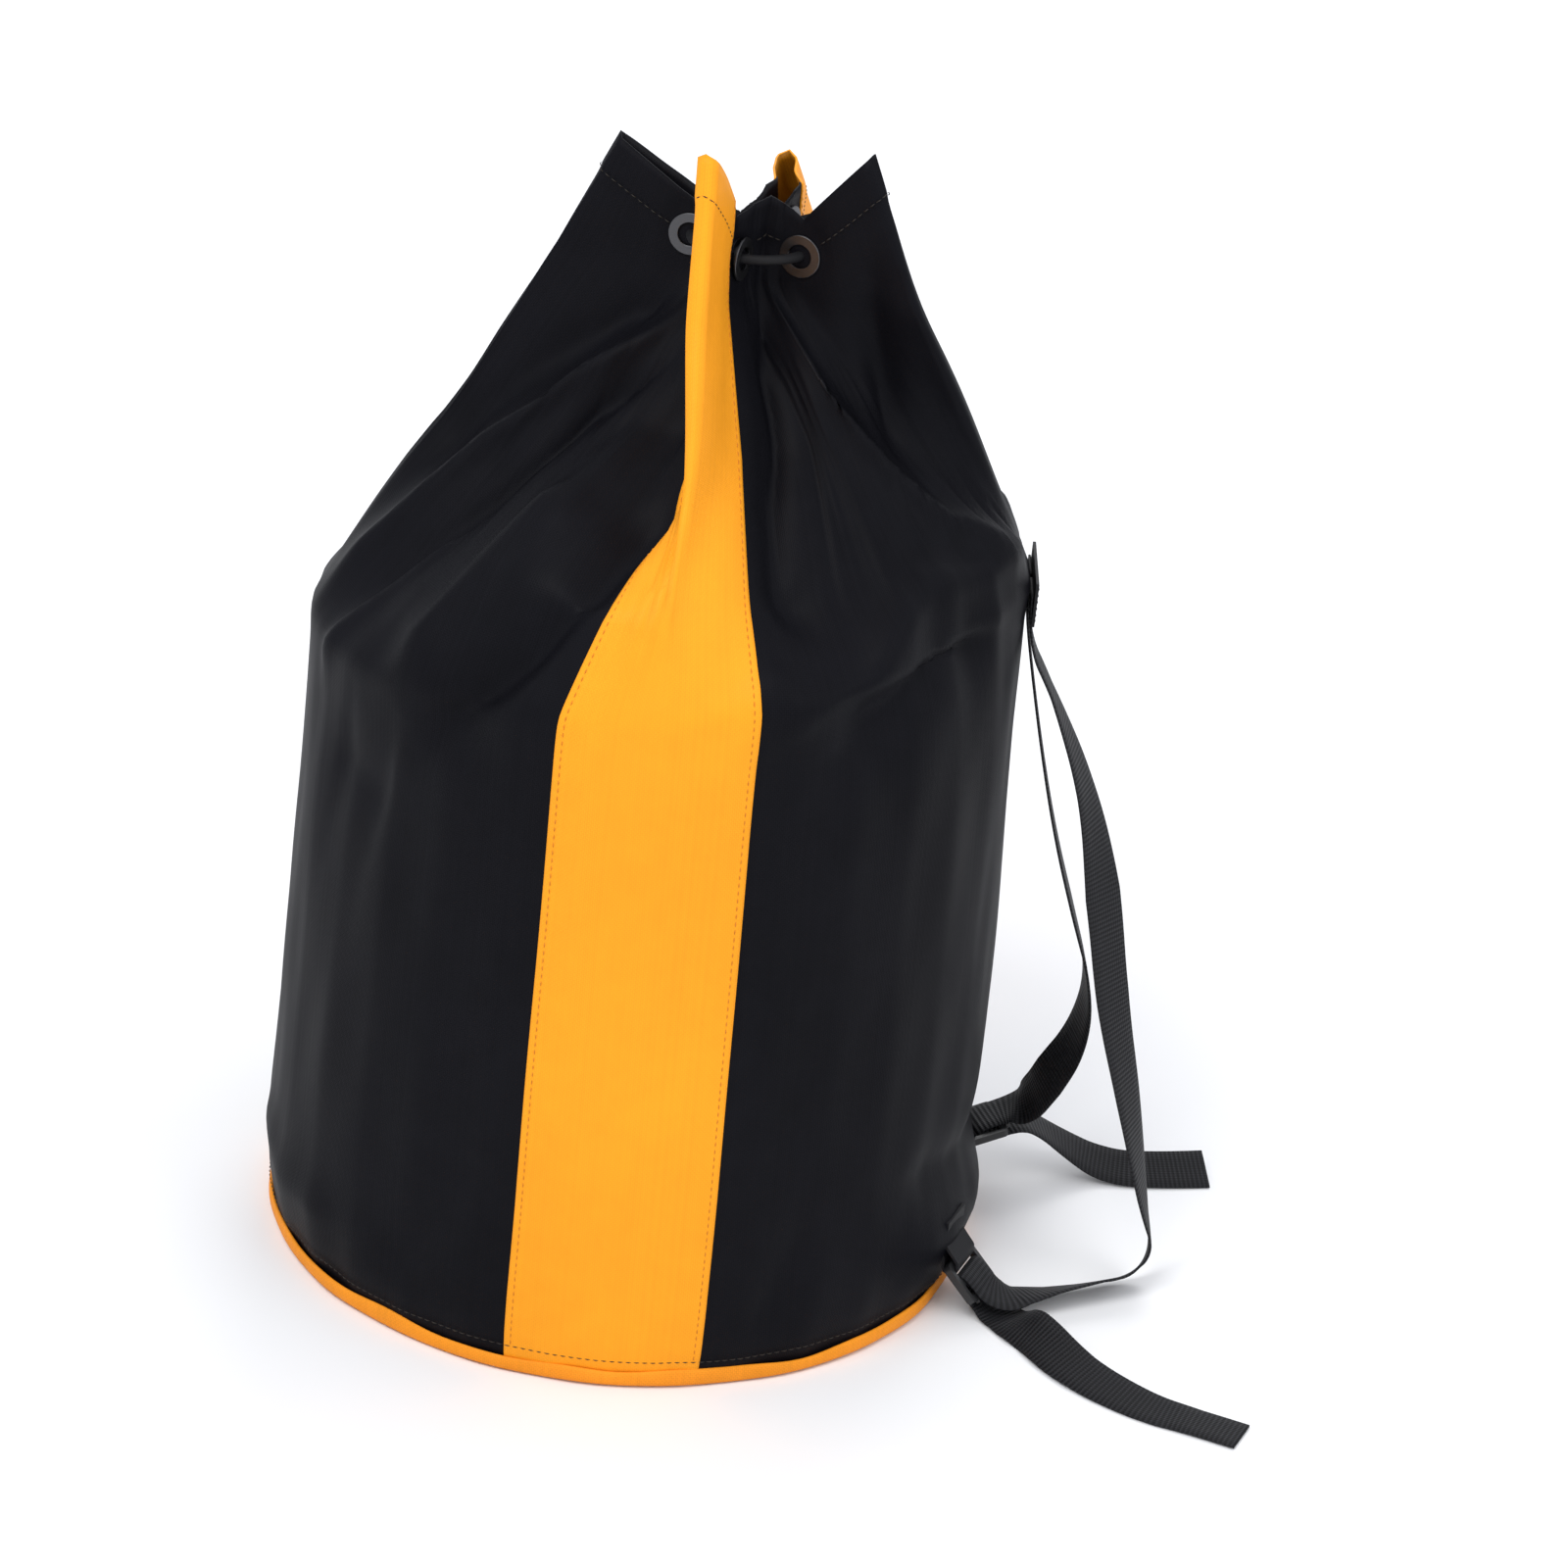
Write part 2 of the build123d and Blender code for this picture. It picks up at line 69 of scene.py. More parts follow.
class BagSizes(bpy.types.PropertyGroup):
    """Sizes of the sewn and stuffed bag."""

    shoulder_radius: size_setting("Shoulder radius", "Where the gathered top begins", 0.182)
    shoulder_height: size_setting("Shoulder height", "Mean height of that line", 0.372)
    shoulder_tilt: size_setting("Shoulder tilt", "How much higher it is on the strap side", 0.024)
    neck_x: size_setting("Neck lean", "How far the neck leans towards the straps", 0.024)
    neck_height: size_setting("Neck height", "Below this the folds open into the body", 0.540)
    eyelet_reach: size_setting("Eyelet reach", "From the neck's axis to an eyelet", 0.030)
    stripe_half_angle: bpy.props.FloatProperty(
        name="Stripe half width", description="Half of a stripe's width, as an angle round the bag",
        default=15.5)
    hem: size_setting("Hem", "Depth of the turned hem at the mouth", 0.020)
    cloth: size_setting("Cloth", "Thickness of the coated cloth", 0.0011)
    webbing_width: size_setting("Webbing width", "Width of the shoulder straps", 0.025)
    webbing_thickness: size_setting("Webbing thickness", "Thickness of the shoulder straps", 0.0015)
    cord_diameter: size_setting("Cord diameter", "Diameter of the drawcord", 0.005)


class BagColours(bpy.types.PropertyGroup):
    """Colours of cloth, webbing and hardware, as linear values."""

    black_cloth: colour_setting("Black cloth", "The side panels", (0.0052, 0.0052, 0.0070))
    yellow_cloth: colour_setting("Yellow cloth", "The stripes", (0.86, 0.322, 0.0145))
    yellow_base: colour_setting("Base cloth", "The base and its binding", (0.80, 0.27, 0.016))
    webbing: colour_setting("Webbing", "The straps and their loops", (0.0060, 0.0060, 0.0072))
    nickel: colour_setting("Nickel", "The eyelets", (0.10, 0.10, 0.105))


def sizes():
    return bpy.context.scene.rope_bag_sizes


def colours():
    return bpy.context.scene.rope_bag_colours


# ---- the routes of straps and cords, in metres --------------------------------------------
ACROSS = (0, 1, 0)
LOAD_RUNS = {
    "near": [
        ((0.1830, -0.0160, 0.391), ACROSS),
        ((0.1832, -0.0158, 0.364), ACROSS),
        ((0.2000, -0.0165, 0.335), ACROSS),
        ((0.2250, -0.0200, 0.281), (0.35, 0.94, 0)),
        ((0.2400, -0.0250, 0.223), (0.75, 0.66, 0)),
        ((0.2510, -0.0300, 0.165), (0.70, 0.71, 0)),
        ((0.2670, -0.0340, 0.108), (0.50, 0.87, 0)),
        ((0.2810, -0.0380, 0.052), (0.20, 0.98, 0)),
        ((0.2895, -0.0390, 0.025), (0.05, 0.95, -0.30)),
        ((0.2810, -0.0440, 0.009), (0.10, 0.86, -0.50)),
        ((0.2570, -0.0560, 0.009), (0.10, 0.86, -0.50)),
        ((0.2320, -0.0675, 0.0084), (0.34, 0.89, -0.30)),
    ],
    "far": [
        ((0.1830, 0.0150, 0.391), ACROSS),
        ((0.1834, 0.0150, 0.368), ACROSS),
        ((0.1895, 0.0155, 0.337), ACROSS),
        ((0.2010, 0.0180, 0.286), ACROSS),
        ((0.2140, 0.0220, 0.236), ACROSS),
        ((0.2290, 0.0250, 0.190), ACROSS),
        ((0.2440, 0.0300, 0.146), (-0.10, 0.98, 0.15)),
        ((0.2420, 0.0360, 0.108), (-0.30, 0.85, 0.42)),
        ((0.2280, 0.0450, 0.074), (-0.45, 0.60, 0.65)),
        ((0.2230, 0.0610, 0.054), (-0.42, 0.72, 0.55)),
    ],
}
TAILS = {
    "near": [
        ((0.2120, -0.0890, 0.0015), (0.66, 0.74, 0.05)),
        ((0.2220, -0.1080, 0.0104), (0.62, 0.42, 0.66)),
        ((0.2460, -0.1400, 0.0050), (0.50, 0.80, 0.30)),
        ((0.2810, -0.1650, 0.0022), (0.45, 0.89, 0.10)),
        ((0.3080, -0.1740, 0.0014), (0.38, 0.92, 0)),
        ((0.3310, -0.1840, 0.0014), (0.40, 0.91, 0)),
    ],
    "far": [
        ((0.2260, 0.0730, 0.0340), (-0.25, 0.96, 0.10)),
        ((0.2470, 0.0790, 0.0180), (-0.15, 0.95, 0.27)),
        ((0.2680, 0.0795, 0.0070), (0, 0.92, 0.38)),
        ((0.2930, 0.0780, 0.0062), (0, 0.90, 0.42)),
        ((0.3280, 0.0860, 0.0064), (0, 0.88, 0.45)),
    ],
}
# Each ladder lock: its direction, how far it tips down, its middle bar's radius and height.
BUCKLES = {"near": (-21.0, 45.0, 0.2040, 0.019), "far": (18.0, -15.0, 0.2065, 0.034)}
STRAP_LIFT = 0.0039
WRAP = [(0.020, STRAP_LIFT), (-STRAP_LIFT, STRAP_LIFT), (-STRAP_LIFT, -STRAP_LIFT), (0.019, -STRAP_LIFT)]
CORD_ROUTES = {
    1: [
        (0.02744, 0.0302, 0.557), (0.0130, 0.03184, 0.557), (-0.0094, 0.0383, 0.526),
        (-0.01189, 0.04028, 0.52284), (-0.04675, 0.0680, 0.47866),
        (-0.0509, 0.0713, 0.4734), (-0.082, 0.0995, 0.4275), (-0.112, 0.1235, 0.3885),
        (-0.1345, 0.138, 0.348), (-0.1285, 0.144, 0.298), (-0.123, 0.148, 0.245),
        (-0.1255, 0.1475, 0.190), (-0.1225, 0.151, 0.135), (-0.1255, 0.1495, 0.085),
        (-0.124, 0.1515, 0.050),
    ],
    2: [
        (-0.00219, 0.01543, 0.557), (0.00314, 0.02447, 0.557), (-0.0015, 0.0295, 0.545),
        (-0.0136, 0.0331, 0.526), (-0.01609, 0.03508, 0.52284), (-0.05095, 0.0628, 0.47866),
        (-0.0551, 0.0661, 0.4734), (-0.0915, 0.0905, 0.428),
        (-0.1215, 0.1155, 0.387), (-0.1425, 0.1315, 0.345), (-0.146, 0.123, 0.296),
        (-0.149, 0.120, 0.240), (-0.147, 0.124, 0.185), (-0.1515, 0.1215, 0.130),
        (-0.150, 0.1245, 0.092),
    ],
}


# ---- shader arithmetic --------------------------------------------------------------------
class Wire:
    """A socket in a material's node tree, with Python's arithmetic."""

    def __init__(self, tree, socket):
        self.tree = tree
        self.socket = socket

    def make(self, kind, settings=(), inputs=(), output=0):
        """Any node: its type, then its settings, then the values or wires of its sockets."""
        node = self.tree.nodes.new(kind)
        for name, value in dict(settings).items():
            setattr(node, name, value)
        for name, value in dict(inputs).items():
            if isinstance(value, Wire):
                self.tree.links.new(value.socket, node.inputs[name])
            else:
                node.inputs[name].default_value = value
        return Wire(self.tree, node.outputs[output])

    def maths(self, operation, other=0.0):
        return self.make("ShaderNodeMath", {"operation": operation}, {0: self, 1: other})

    def reflected(self, operation, other):
        return self.make("ShaderNodeMath", {"operation": operation}, {0: other, 1: self})

    def __add__(self, other):
        return self.maths("ADD", other)

    __radd__ = __add__

    def __mul__(self, other):
        return self.maths("MULTIPLY", other)

    __rmul__ = __mul__

    def __sub__(self, other):
        return self.maths("SUBTRACT", other)

    def __rsub__(self, other):
        return self.reflected("SUBTRACT", other)

    def split(self):
        """The first two parts of a vector."""
        node = self.tree.nodes.new("ShaderNodeSeparateXYZ")
        self.tree.links.new(self.socket, node.inputs[0])
        return Wire(self.tree, node.outputs[0]), Wire(self.tree, node.outputs[1])

    def wave(self, pitch):
        """A sine wave along this wire, from -1 to 1, repeating every pitch."""
        return (self * (2 * math.pi / pitch)).maths("SINE")

    def step_up(self, low, high):
        """Rises smoothly from 0 at low to 1 at high."""
        return self.make(
            "ShaderNodeMapRange", {"interpolation_type": "SMOOTHSTEP"},
            {"Value": self, "From Min": low, "From Max": high})

    def blend(self, dark, light):
        """Mixes two colours by this wire."""
        return self.make(
            "ShaderNodeMix", {"data_type": "RGBA"},
            {"Factor": self, 6: shade(dark), 7: shade(light)}, output=2)


def shade(colour):
    """A colour with its alpha, or a wire as it is."""
    return colour if isinstance(colour, Wire) else (*colour[:3], 1.0)


def scaled(colour, gain):
    return [value * gain for value in colour]


def new_material(name, settings):
    """A Principled material with constant sockets set, and wires for its texture places."""
    material = bpy.data.materials.new(name)
    material.use_nodes = True
    tree = material.node_tree
    shader = tree.nodes["Principled BSDF"]
    for socket, value in settings.items():
        shader.inputs[socket].default_value = value
    start = Wire(tree, shader.outputs[0])
    place = start.make("ShaderNodeTexCoord", output=3)
    along = start.make("ShaderNodeTexCoord", output=2)
    return material, shader, place, along


def connect(wire, shader, socket):
    wire.tree.links.new(wire.socket, shader.inputs[socket])


def noise(place, scale, detail=3.0, roughness=0.5):
    return place.make("ShaderNodeTexNoise", {}, {"Vector": place, "Scale": scale, "Detail": detail,
                                                 "Roughness": roughness})


def bumped(height, strength, distance):
    return height.make("ShaderNodeBump", {}, {"Height": height, "Strength": strength, "Distance": distance})


def weave(along, pitch):
    """A plain weave on the cloth's own coordinates, in metres: crossed rounded threads."""
    across, up = along.split()
    over = across.wave(2 * pitch) * up.wave(2 * pitch)
    return (across.wave(pitch) * 0.5 + up.wave(pitch) * 0.35 + over * 0.5) * 0.5 + 0.5, across


def cloth_material(name, colour, roughness, worn, shine=0.11, pitch=0.0011):
    """Coated plain-weave polyester: threads in relief, a dull coated shine, faint handling marks."""
    material, shader, place, along = new_material(name, {"Specular IOR Level": shine})
    threads, across = weave(along, pitch)
    broad = noise(place, 9.0, 4.0)
    fine = noise(place, 70.0, 3.0)
    streak = across.make("ShaderNodeTexNoise", {"noise_dimensions": "1D"}, {"W": across, "Scale": 420.0})
    tone = (broad * 0.55 + fine * 0.2 + streak * 0.15 + threads * 0.25).step_up(0.30, 0.85)
    connect(tone.blend(scaled(colour, 1 - worn), scaled(colour, 1 + worn)), shader, "Base Color")
    connect(broad * 0.16 + threads * 0.06 + (roughness - 0.10), shader, "Roughness")
    relief = threads * 0.35 + streak * 0.25 + fine * 0.4
    connect(bumped(relief, 0.5, 0.0004), shader, "Normal")
    return material


RIB_PITCH, YARN_PITCH = 0.0026, 0.0016
BRAID_PITCH, BRAID_STRANDS = 0.0070, 4.0


def webbing_material(colour):
    """Ribbed polypropylene webbing: cross ribs, fine yarns along it, smoother selvedges."""
    material, shader, place, along = new_material("ribbed webbing", {"Specular IOR Level": 0.22})
    across, down = along.split()
    rib = down.wave(RIB_PITCH) * 0.5 + 0.5
    yarn = across.wave(YARN_PITCH) * 0.5 + 0.5
    worn = noise(place, 60.0)
    tone = (rib * 0.55 + yarn * 0.2 + worn * 0.4).step_up(0.25, 0.95)
    connect(tone.blend(scaled(colour, 0.65), scaled(colour, 2.3)), shader, "Base Color")
    connect(0.62 - rib * 0.12 + worn * 0.1, shader, "Roughness")
    connect(bumped(rib * 0.8 + yarn * 0.3, 0.8, 0.0006), shader, "Normal")
    return material


def cord_material(colour):
    """Braided cord: two crossed sets of strands on the cord's own coordinates."""
    material, shader, _, along = new_material("braided cord", {"Specular IOR Level": 0.25})
    around, down = along.split()
    down = down * (1 / BRAID_PITCH)
    left = (down + around * BRAID_STRANDS).wave(1.0)
    right = (down - around * BRAID_STRANDS).wave(1.0)
    braid = left.maths("MAXIMUM", right) * 0.5 + 0.5
    tone = braid.step_up(0.2, 1.0)
    connect(tone.blend(scaled(colour, 0.5), scaled(colour, 2.0)), shader, "Base Color")
    connect(0.7 - braid * 0.1, shader, "Roughness")
    connect(bumped(braid, 0.7, 0.0005), shader, "Normal")
    return material


def thread_material(name, colour):
    """Bonded sewing thread, slightly shiny and twisted along its stitch."""
    material, shader, place, _ = new_material(name, {"Specular IOR Level": 0.3})
    twist = noise(place, 1800.0, 2.0)
    connect(twist.blend(scaled(colour, 0.6), scaled(colour, 1.4)), shader, "Base Color")
    connect(0.5 + twist * 0.2, shader, "Roughness")
    return material


def metal_material(name, colour, roughness):
    """Plated or drawn metal, with fine scratches and duller patches."""
    material, shader, place, _ = new_material(name, {"Metallic": 1.0})
    patches = noise(place, 300.0, 5.0)
    scratches = noise(place, 1400.0, 2.0)
    connect(patches.blend(scaled(colour, 0.8), colour), shader, "Base Color")
    connect(patches * 0.18 + (roughness - 0.05), shader, "Roughness")
    connect(bumped(scratches, 0.15, 0.0001), shader, "Normal")
    return material


def moulded_material(name, colour):
    """Moulded acetal with a spark-eroded grain."""
    material, shader, place, _ = new_material(name, {"Specular IOR Level": 0.5})
    grain = noise(place, 2200.0, 2.0)
    broad = noise(place, 120.0, 3.0)
    connect(broad.blend(scaled(colour, 0.8), scaled(colour, 1.4)), shader, "Base Color")
    connect(grain * 0.12 + 0.34 + broad * 0.08, shader, "Roughness")
    connect(bumped(grain, 0.35, 0.0002), shader, "Normal")
    return material


# ---- mesh helpers ---------------------------------------------------------------------------
def grid_faces(columns, rows, closed=False):
    """Quads between neighbouring points of a grid whose points run row by row up each column."""
    count = columns if closed else columns - 1
    i, j = np.meshgrid(np.arange(count), np.arange(rows - 1), indexing="ij")
    right = (i + 1) % columns
    quads = np.stack([i * rows + j, right * rows + j, right * rows + j + 1, i * rows + j + 1], axis=-1)
    return quads.reshape(-1, 4)


def round_faces(columns, count):
    """Quads that join each ring's last point to its first, from one ring to the next."""
    first, second = np.arange(columns - 1) * count, np.arange(1, columns) * count
    return np.stack([first + count - 1, second + count - 1, second, first], axis=-1)


def mesh_object(name, points, faces, uv=None):
    """A smooth mesh object from arrays of points and quads, with UV coordinates given per point."""
    points = np.asarray(points, dtype=np.float32).reshape(-1, 3)
    faces = np.asarray(faces, dtype=np.int32)
    mesh = bpy.data.meshes.new(name)
    sides = faces.shape[1]
    mesh.vertices.add(len(points))
    mesh.vertices.foreach_set("co", points.ravel())
    mesh.loops.add(faces.size)
    mesh.loops.foreach_set("vertex_index", faces.ravel())
    mesh.polygons.add(len(faces))
    mesh.polygons.foreach_set("loop_start", np.arange(0, faces.size, sides, dtype=np.int32))
    mesh.update(calc_edges=True)
    if uv is not None:
        layer = mesh.uv_layers.new(name="cut")
        flat = np.asarray(uv, dtype=np.float32).reshape(-1, 2)[faces.ravel()]
        layer.data.foreach_set("uv", flat.ravel())
    mesh.polygons.foreach_set("use_smooth", np.ones(len(faces), dtype=bool))
    mesh.validate()
    piece = bpy.data.objects.new(name, mesh)
    bpy.context.scene.collection.objects.link(piece)
    return piece


def use_material(piece, material):
    piece.data.materials.clear()
    piece.data.materials.append(material)


def route_line(name, route):
    """Points read from a smooth NURBS spline with the route's points as its controls."""
    curve = bpy.data.curves.new(name, "CURVE")
    curve.dimensions = "3D"
    curve.resolution_u = 24
    spline = curve.splines.new("NURBS")
    spline.points.add(len(route) - 1)
    spline.points.foreach_set("co", np.c_[np.asarray(route, float), np.ones(len(route))].ravel())
    spline.order_u = 3
    spline.use_endpoint_u = True
    holder = bpy.data.objects.new(name, curve)
    bpy.context.scene.collection.objects.link(holder)
    graph = bpy.context.evaluated_depsgraph_get()
    mesh = bpy.data.meshes.new_from_object(holder.evaluated_get(graph), depsgraph=graph)
    line = np.empty(len(mesh.vertices) * 3)
    mesh.vertices.foreach_get("co", line)
    bpy.data.objects.remove(holder)
    bpy.data.meshes.remove(mesh)
    return line.reshape(-1, 3)


def lengths_along(line):
    return np.r_[0.0, np.cumsum(np.linalg.norm(np.diff(line, axis=0), axis=1))]


def between(wanted, marks, vectors):
    """The vectors given at the marks, read at the wanted marks."""
    return np.stack([np.interp(wanted, marks, vectors[:, axis]) for axis in range(3)], axis=-1)


def unit(vectors):
    return vectors / np.maximum(np.linalg.norm(vectors, axis=-1, keepdims=True), 1e-12)


# ---- frames of the ladder locks -----------------------------------------------------------
def direction(angle):
    return np.array([math.cos(math.radians(angle)), math.sin(math.radians(angle)), 0.0])


def buckle_axes(side):
    """The middle bar's centre, the buckle's outward direction, its width and its upper normal."""
    angle, tip, radius, height = BUCKLES[side]
    out = direction(angle)
    up = np.array([0.0, 0.0, 1.0])
    down = math.radians(tip)
    along = out * math.cos(down) - up * math.sin(down)
    normal = out * math.sin(down) + up * math.cos(down)
    return out * radius + up * height, along, np.cross(normal, along), normal


def strap_stops(side):
    centre, along, width, normal = buckle_axes(side)
    wrap = [(centre + along * x + normal * z, width) for x, z in WRAP]
    return LOAD_RUNS[side] + wrap + TAILS[side]


CAMERA_PLACE, CAMERA_TARGET = (0.0, -2.4, 1.38), (0.0679, 0.0, 0.2603)
CAMERA_ROLL, CAMERA_LENS = 5.9, 116.2


class BAG_OT_camera(bpy.types.Operator):
    """Places the camera that looks slightly down at the bag's front stripe"""

    bl_idname = "rope_bag.camera"
    bl_label = "Camera"

    def execute(self, context):
        place = np.array(CAMERA_PLACE)
        roll = math.radians(CAMERA_ROLL)
        forward = unit(np.array(CAMERA_TARGET) - place)
        right = unit(np.cross(forward, [0.0, 0.0, 1.0]))
        up = np.cross(right, forward)
        turned = [math.cos(roll) * right + math.sin(roll) * up, math.cos(roll) * up - math.sin(roll) * right]
        matrix = np.eye(4)
        matrix[:3, :3] = np.stack([*turned, -forward], axis=1)
        matrix[:3, 3] = place
        data = bpy.data.cameras.new("camera")
        data.sensor_width = 36.0
        data.lens = CAMERA_LENS
        camera = bpy.data.objects.new("camera", data)
        camera.matrix_world = Matrix(matrix.tolist())
        context.scene.collection.objects.link(camera)
        context.scene.camera = camera
        return {"FINISHED"}


class BAG_OT_straps(bpy.types.Operator):
    """Lays both shoulder straps: webbing that hangs, wraps its ladder lock and ends in a tail"""

    bl_idname = "rope_bag.straps"
    bl_label = "Shoulder straps"

    def execute(self, context):
        material = webbing_material(colours().webbing)
        for side in BUCKLES:
            self.lay(side, material)
        return {"FINISHED"}

    def lay(self, side, material):
        """A rounded flat section of twelve points carried along the spline and turned with the width."""
        stops = strap_stops(side)
        route = np.array([point for point, _ in stops], float)
        widths = np.array([width for _, width in stops], float)
        line = route_line("strap route", route)
        travelled = lengths_along(line)
        marks = lengths_along(route)
        share = travelled / travelled[-1] * marks[-1]
        width = between(share, marks, widths)
        forward = unit(np.gradient(line, axis=0))
        width = unit(width - forward * np.sum(width * forward, axis=1, keepdims=True))
        face = np.cross(forward, width)
        across, rise = self.section()
        points = line[:, None] + width[:, None] * across[:, None] + face[:, None] * rise[:, None]
        count = len(across)
        name = f"{side}_shoulder_strap"
        uv = np.stack(np.broadcast_arrays(across[None, :], travelled[:, None]), axis=-1)
        faces = grid_faces(len(line), count)
        ends = self.end_caps(len(line), count)
        strap = mesh_object(name, points, np.concatenate([faces, round_faces(len(line), count), ends]), uv)
        strap.data.flip_normals()
        use_material(strap, material)
        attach(strap, "bag")
        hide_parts(f"shoulder_strap_{side}")

    def section(self):
        """The webbing's flat section: two faces and two rounded selvedges."""
        half = sizes().webbing_width / 2
        thick = sizes().webbing_thickness / 2
        across = np.array([-half, -half * 0.96, -half * 0.5, 0.0, half * 0.5, half * 0.96,
                           half, half * 0.96, half * 0.5, 0.0, -half * 0.5, -half * 0.96])
        rise = np.array([0.0, 0.85, 1.0, 1.0, 1.0, 0.85, 0.0, -0.85, -1.0, -1.0, -1.0, -0.85]) * thick
        return across, -rise

    def end_caps(self, length, count):
        """Quads that close both cut ends, from one selvedge to the other."""
        upper = np.arange(count // 2 - 1)
        quads = np.stack([upper, upper + 1, count - upper - 2, count - upper - 1], axis=-1)
        return np.concatenate([quads, quads[:, ::-1] + (length - 1) * count])


TWIST_GUIDE = (0.31, 0.17, 0.93)    # no stretch of cord runs this way
KNOT_REACH, KNOT_LOBE, KNOT_DEPTH, KNOT_CORD_RADIUS = 0.0026, 0.0012, 0.0030, 0.0024


class BAG_OT_drawcord(bpy.types.Operator):
    """Runs the drawcord's tails through the cord lock and ties a knot in each"""

    bl_idname = "rope_bag.drawcord"
    bl_label = "Drawcord"

    def execute(self, context):
        material = cord_material(colours().webbing)
        for number, route in CORD_ROUTES.items():
            line = route_line("cord route", route)
            tail = self.tube(f"cord_tail_{number}", line, sizes().cord_diameter / 2, material)
            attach(tail, "bag")
            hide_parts(f"drawcord_tail_{number}")
            knot = self.knot(number, line, material)
        use_material(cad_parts["drawcord_ring"], material)
        return {"FINISHED"}

    def tube(self, name, line, radius, material):
        """A round section carried along the line without twisting, closed by two caps of quads."""
        around = 16
        forward = unit(np.gradient(line, axis=0))
        side = unit(np.cross(forward, TWIST_GUIDE))
        over = np.cross(forward, side)
        angle = np.linspace(0, 2 * math.pi, around, endpoint=False)
        ringed = (np.cos(angle)[None, :, None] * side[:, None] + np.sin(angle)[None, :, None] * over[:, None])
        points = line[:, None] + ringed * radius
        travelled = lengths_along(line)
        uv = np.stack(np.broadcast_arrays((angle / (2 * math.pi))[None, :], travelled[:, None]), axis=-1)
        faces = np.concatenate([grid_faces(len(line), around), round_faces(len(line), around)])
        half = np.arange(around // 2 - 1)
        cap = np.stack([half, half + 1, around - half - 2, around - half - 1], axis=-1)
        caps = np.concatenate([cap, cap[:, ::-1] + (len(line) - 1) * around])
        tube = mesh_object(name, points, np.concatenate([faces, caps]), uv)
        tube.data.flip_normals()
        use_material(tube, material)
        return tube

    def knot(self, number, line, material):
        """An overhand knot: a trefoil drawn tight round the cord's last stretch."""
        low, high = (np.array(corner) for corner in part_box(f"cord_knot_{number}"))
        centre = (low + high) / 2
        along = unit(line[-1] - line[-2])
        side = unit(np.cross(along, [0.0, 1.0, 0.0]))
        over = np.cross(along, side)
        turn = np.linspace(0, 2 * math.pi, 121)
        reach = KNOT_REACH + KNOT_LOBE * np.cos(3 * turn)
        sideways, upright = reach * np.cos(2 * turn), reach * np.sin(2 * turn)
        loop = (centre + side * sideways[:, None] + over * upright[:, None]
                + along * (KNOT_DEPTH * np.sin(3 * turn))[:, None])
        knot = self.tube(f"tied_knot_{number}", loop, KNOT_CORD_RADIUS, material)
        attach(knot, "bag")
        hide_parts(f"cord_knot_{number}")
        return knot


# ---- the cloth wall -----------------------------------------------------------------------
# One outward fold in each panel: the direction, reach and height of its tip about the neck.
FOLDS = [(-111.0, 0.066, 0.617), (-24.0, 0.059, 0.612), (66.0, 0.066, 0.580), (167.0, 0.070, 0.599)]
FLANK = [(1.3, 1.0, 0.0040), (8.5, 0.62, 0.0052), (15.5, 0.25, 0.0068), (22.5, 0.0, 0.0070)]
TUCK_ANGLE, TUCK_REACH, TUCK_HALF_WIDTH = 34.0, 0.019, 0.0072
VALLEY_REACH, VALLEY_RIM, EYELET_RIM = 0.014, 0.566, 0.576
TIP_ROUND = 0.0030                  # a tip's middle stands this far above its sides
SEAM_OVERLAP = 0.9                  # how far a stripe lies over its neighbours, as an angle
STRIPE_LIFT = 0.0009                # a stripe's face stands this far above the black cloth
CLOTH_HEIGHT = 0.650                # the wall's own length, from the base seam to the mouth's edge
COLUMNS, ROWS = 288, 140
# The binding's section outside the wall: radius and height.
BINDING_SECTION = [
    (0.1820, 0.0006), (0.1862, 0.0005), (0.1880, 0.0018), (0.1886, 0.0045), (0.1886, 0.0075),
    (0.1882, 0.0096), (0.1870, 0.0100), (0.1862, 0.0092), (0.1856, 0.0060), (0.1835, 0.0024),
]
# The wall rolls out from the base seam and stands upright above it: radius and height.
FOOT = [(0.1840, 0.0030), (0.1868, 0.0105), (0.1892, 0.0240), (0.1900, 0.0450), (0.1885, 0.1200)]
# Where the front fold opens: degrees from its middle, then x and y at two heights.
OPENING_HEIGHTS = (0.418, 0.474)
OPENING = [
    (-34.0, (-0.075, -0.122), (-0.022, -0.056)),
    (-22.5, (-0.048, -0.150), (0.000, -0.060)),
    (-15.5, (-0.029, -0.163), (0.0065, -0.077)),
    (-8.5, (-0.013, -0.1665), (0.0050, -0.103)),
    (-1.3, (-0.001, -0.166), (0.002, -0.128)),
    (0.0, (0.001, -0.166), (0.0035, -0.129)),
    (1.3, (0.003, -0.165), (0.005, -0.129)),
    (8.5, (0.022, -0.157), (0.018, -0.105)),
    (15.5, (0.039, -0.145), (0.029, -0.086)),
    (22.5, (0.055, -0.131), (0.041, -0.072)),
    (34.0, (0.080, -0.112), (0.062, -0.062)),
]
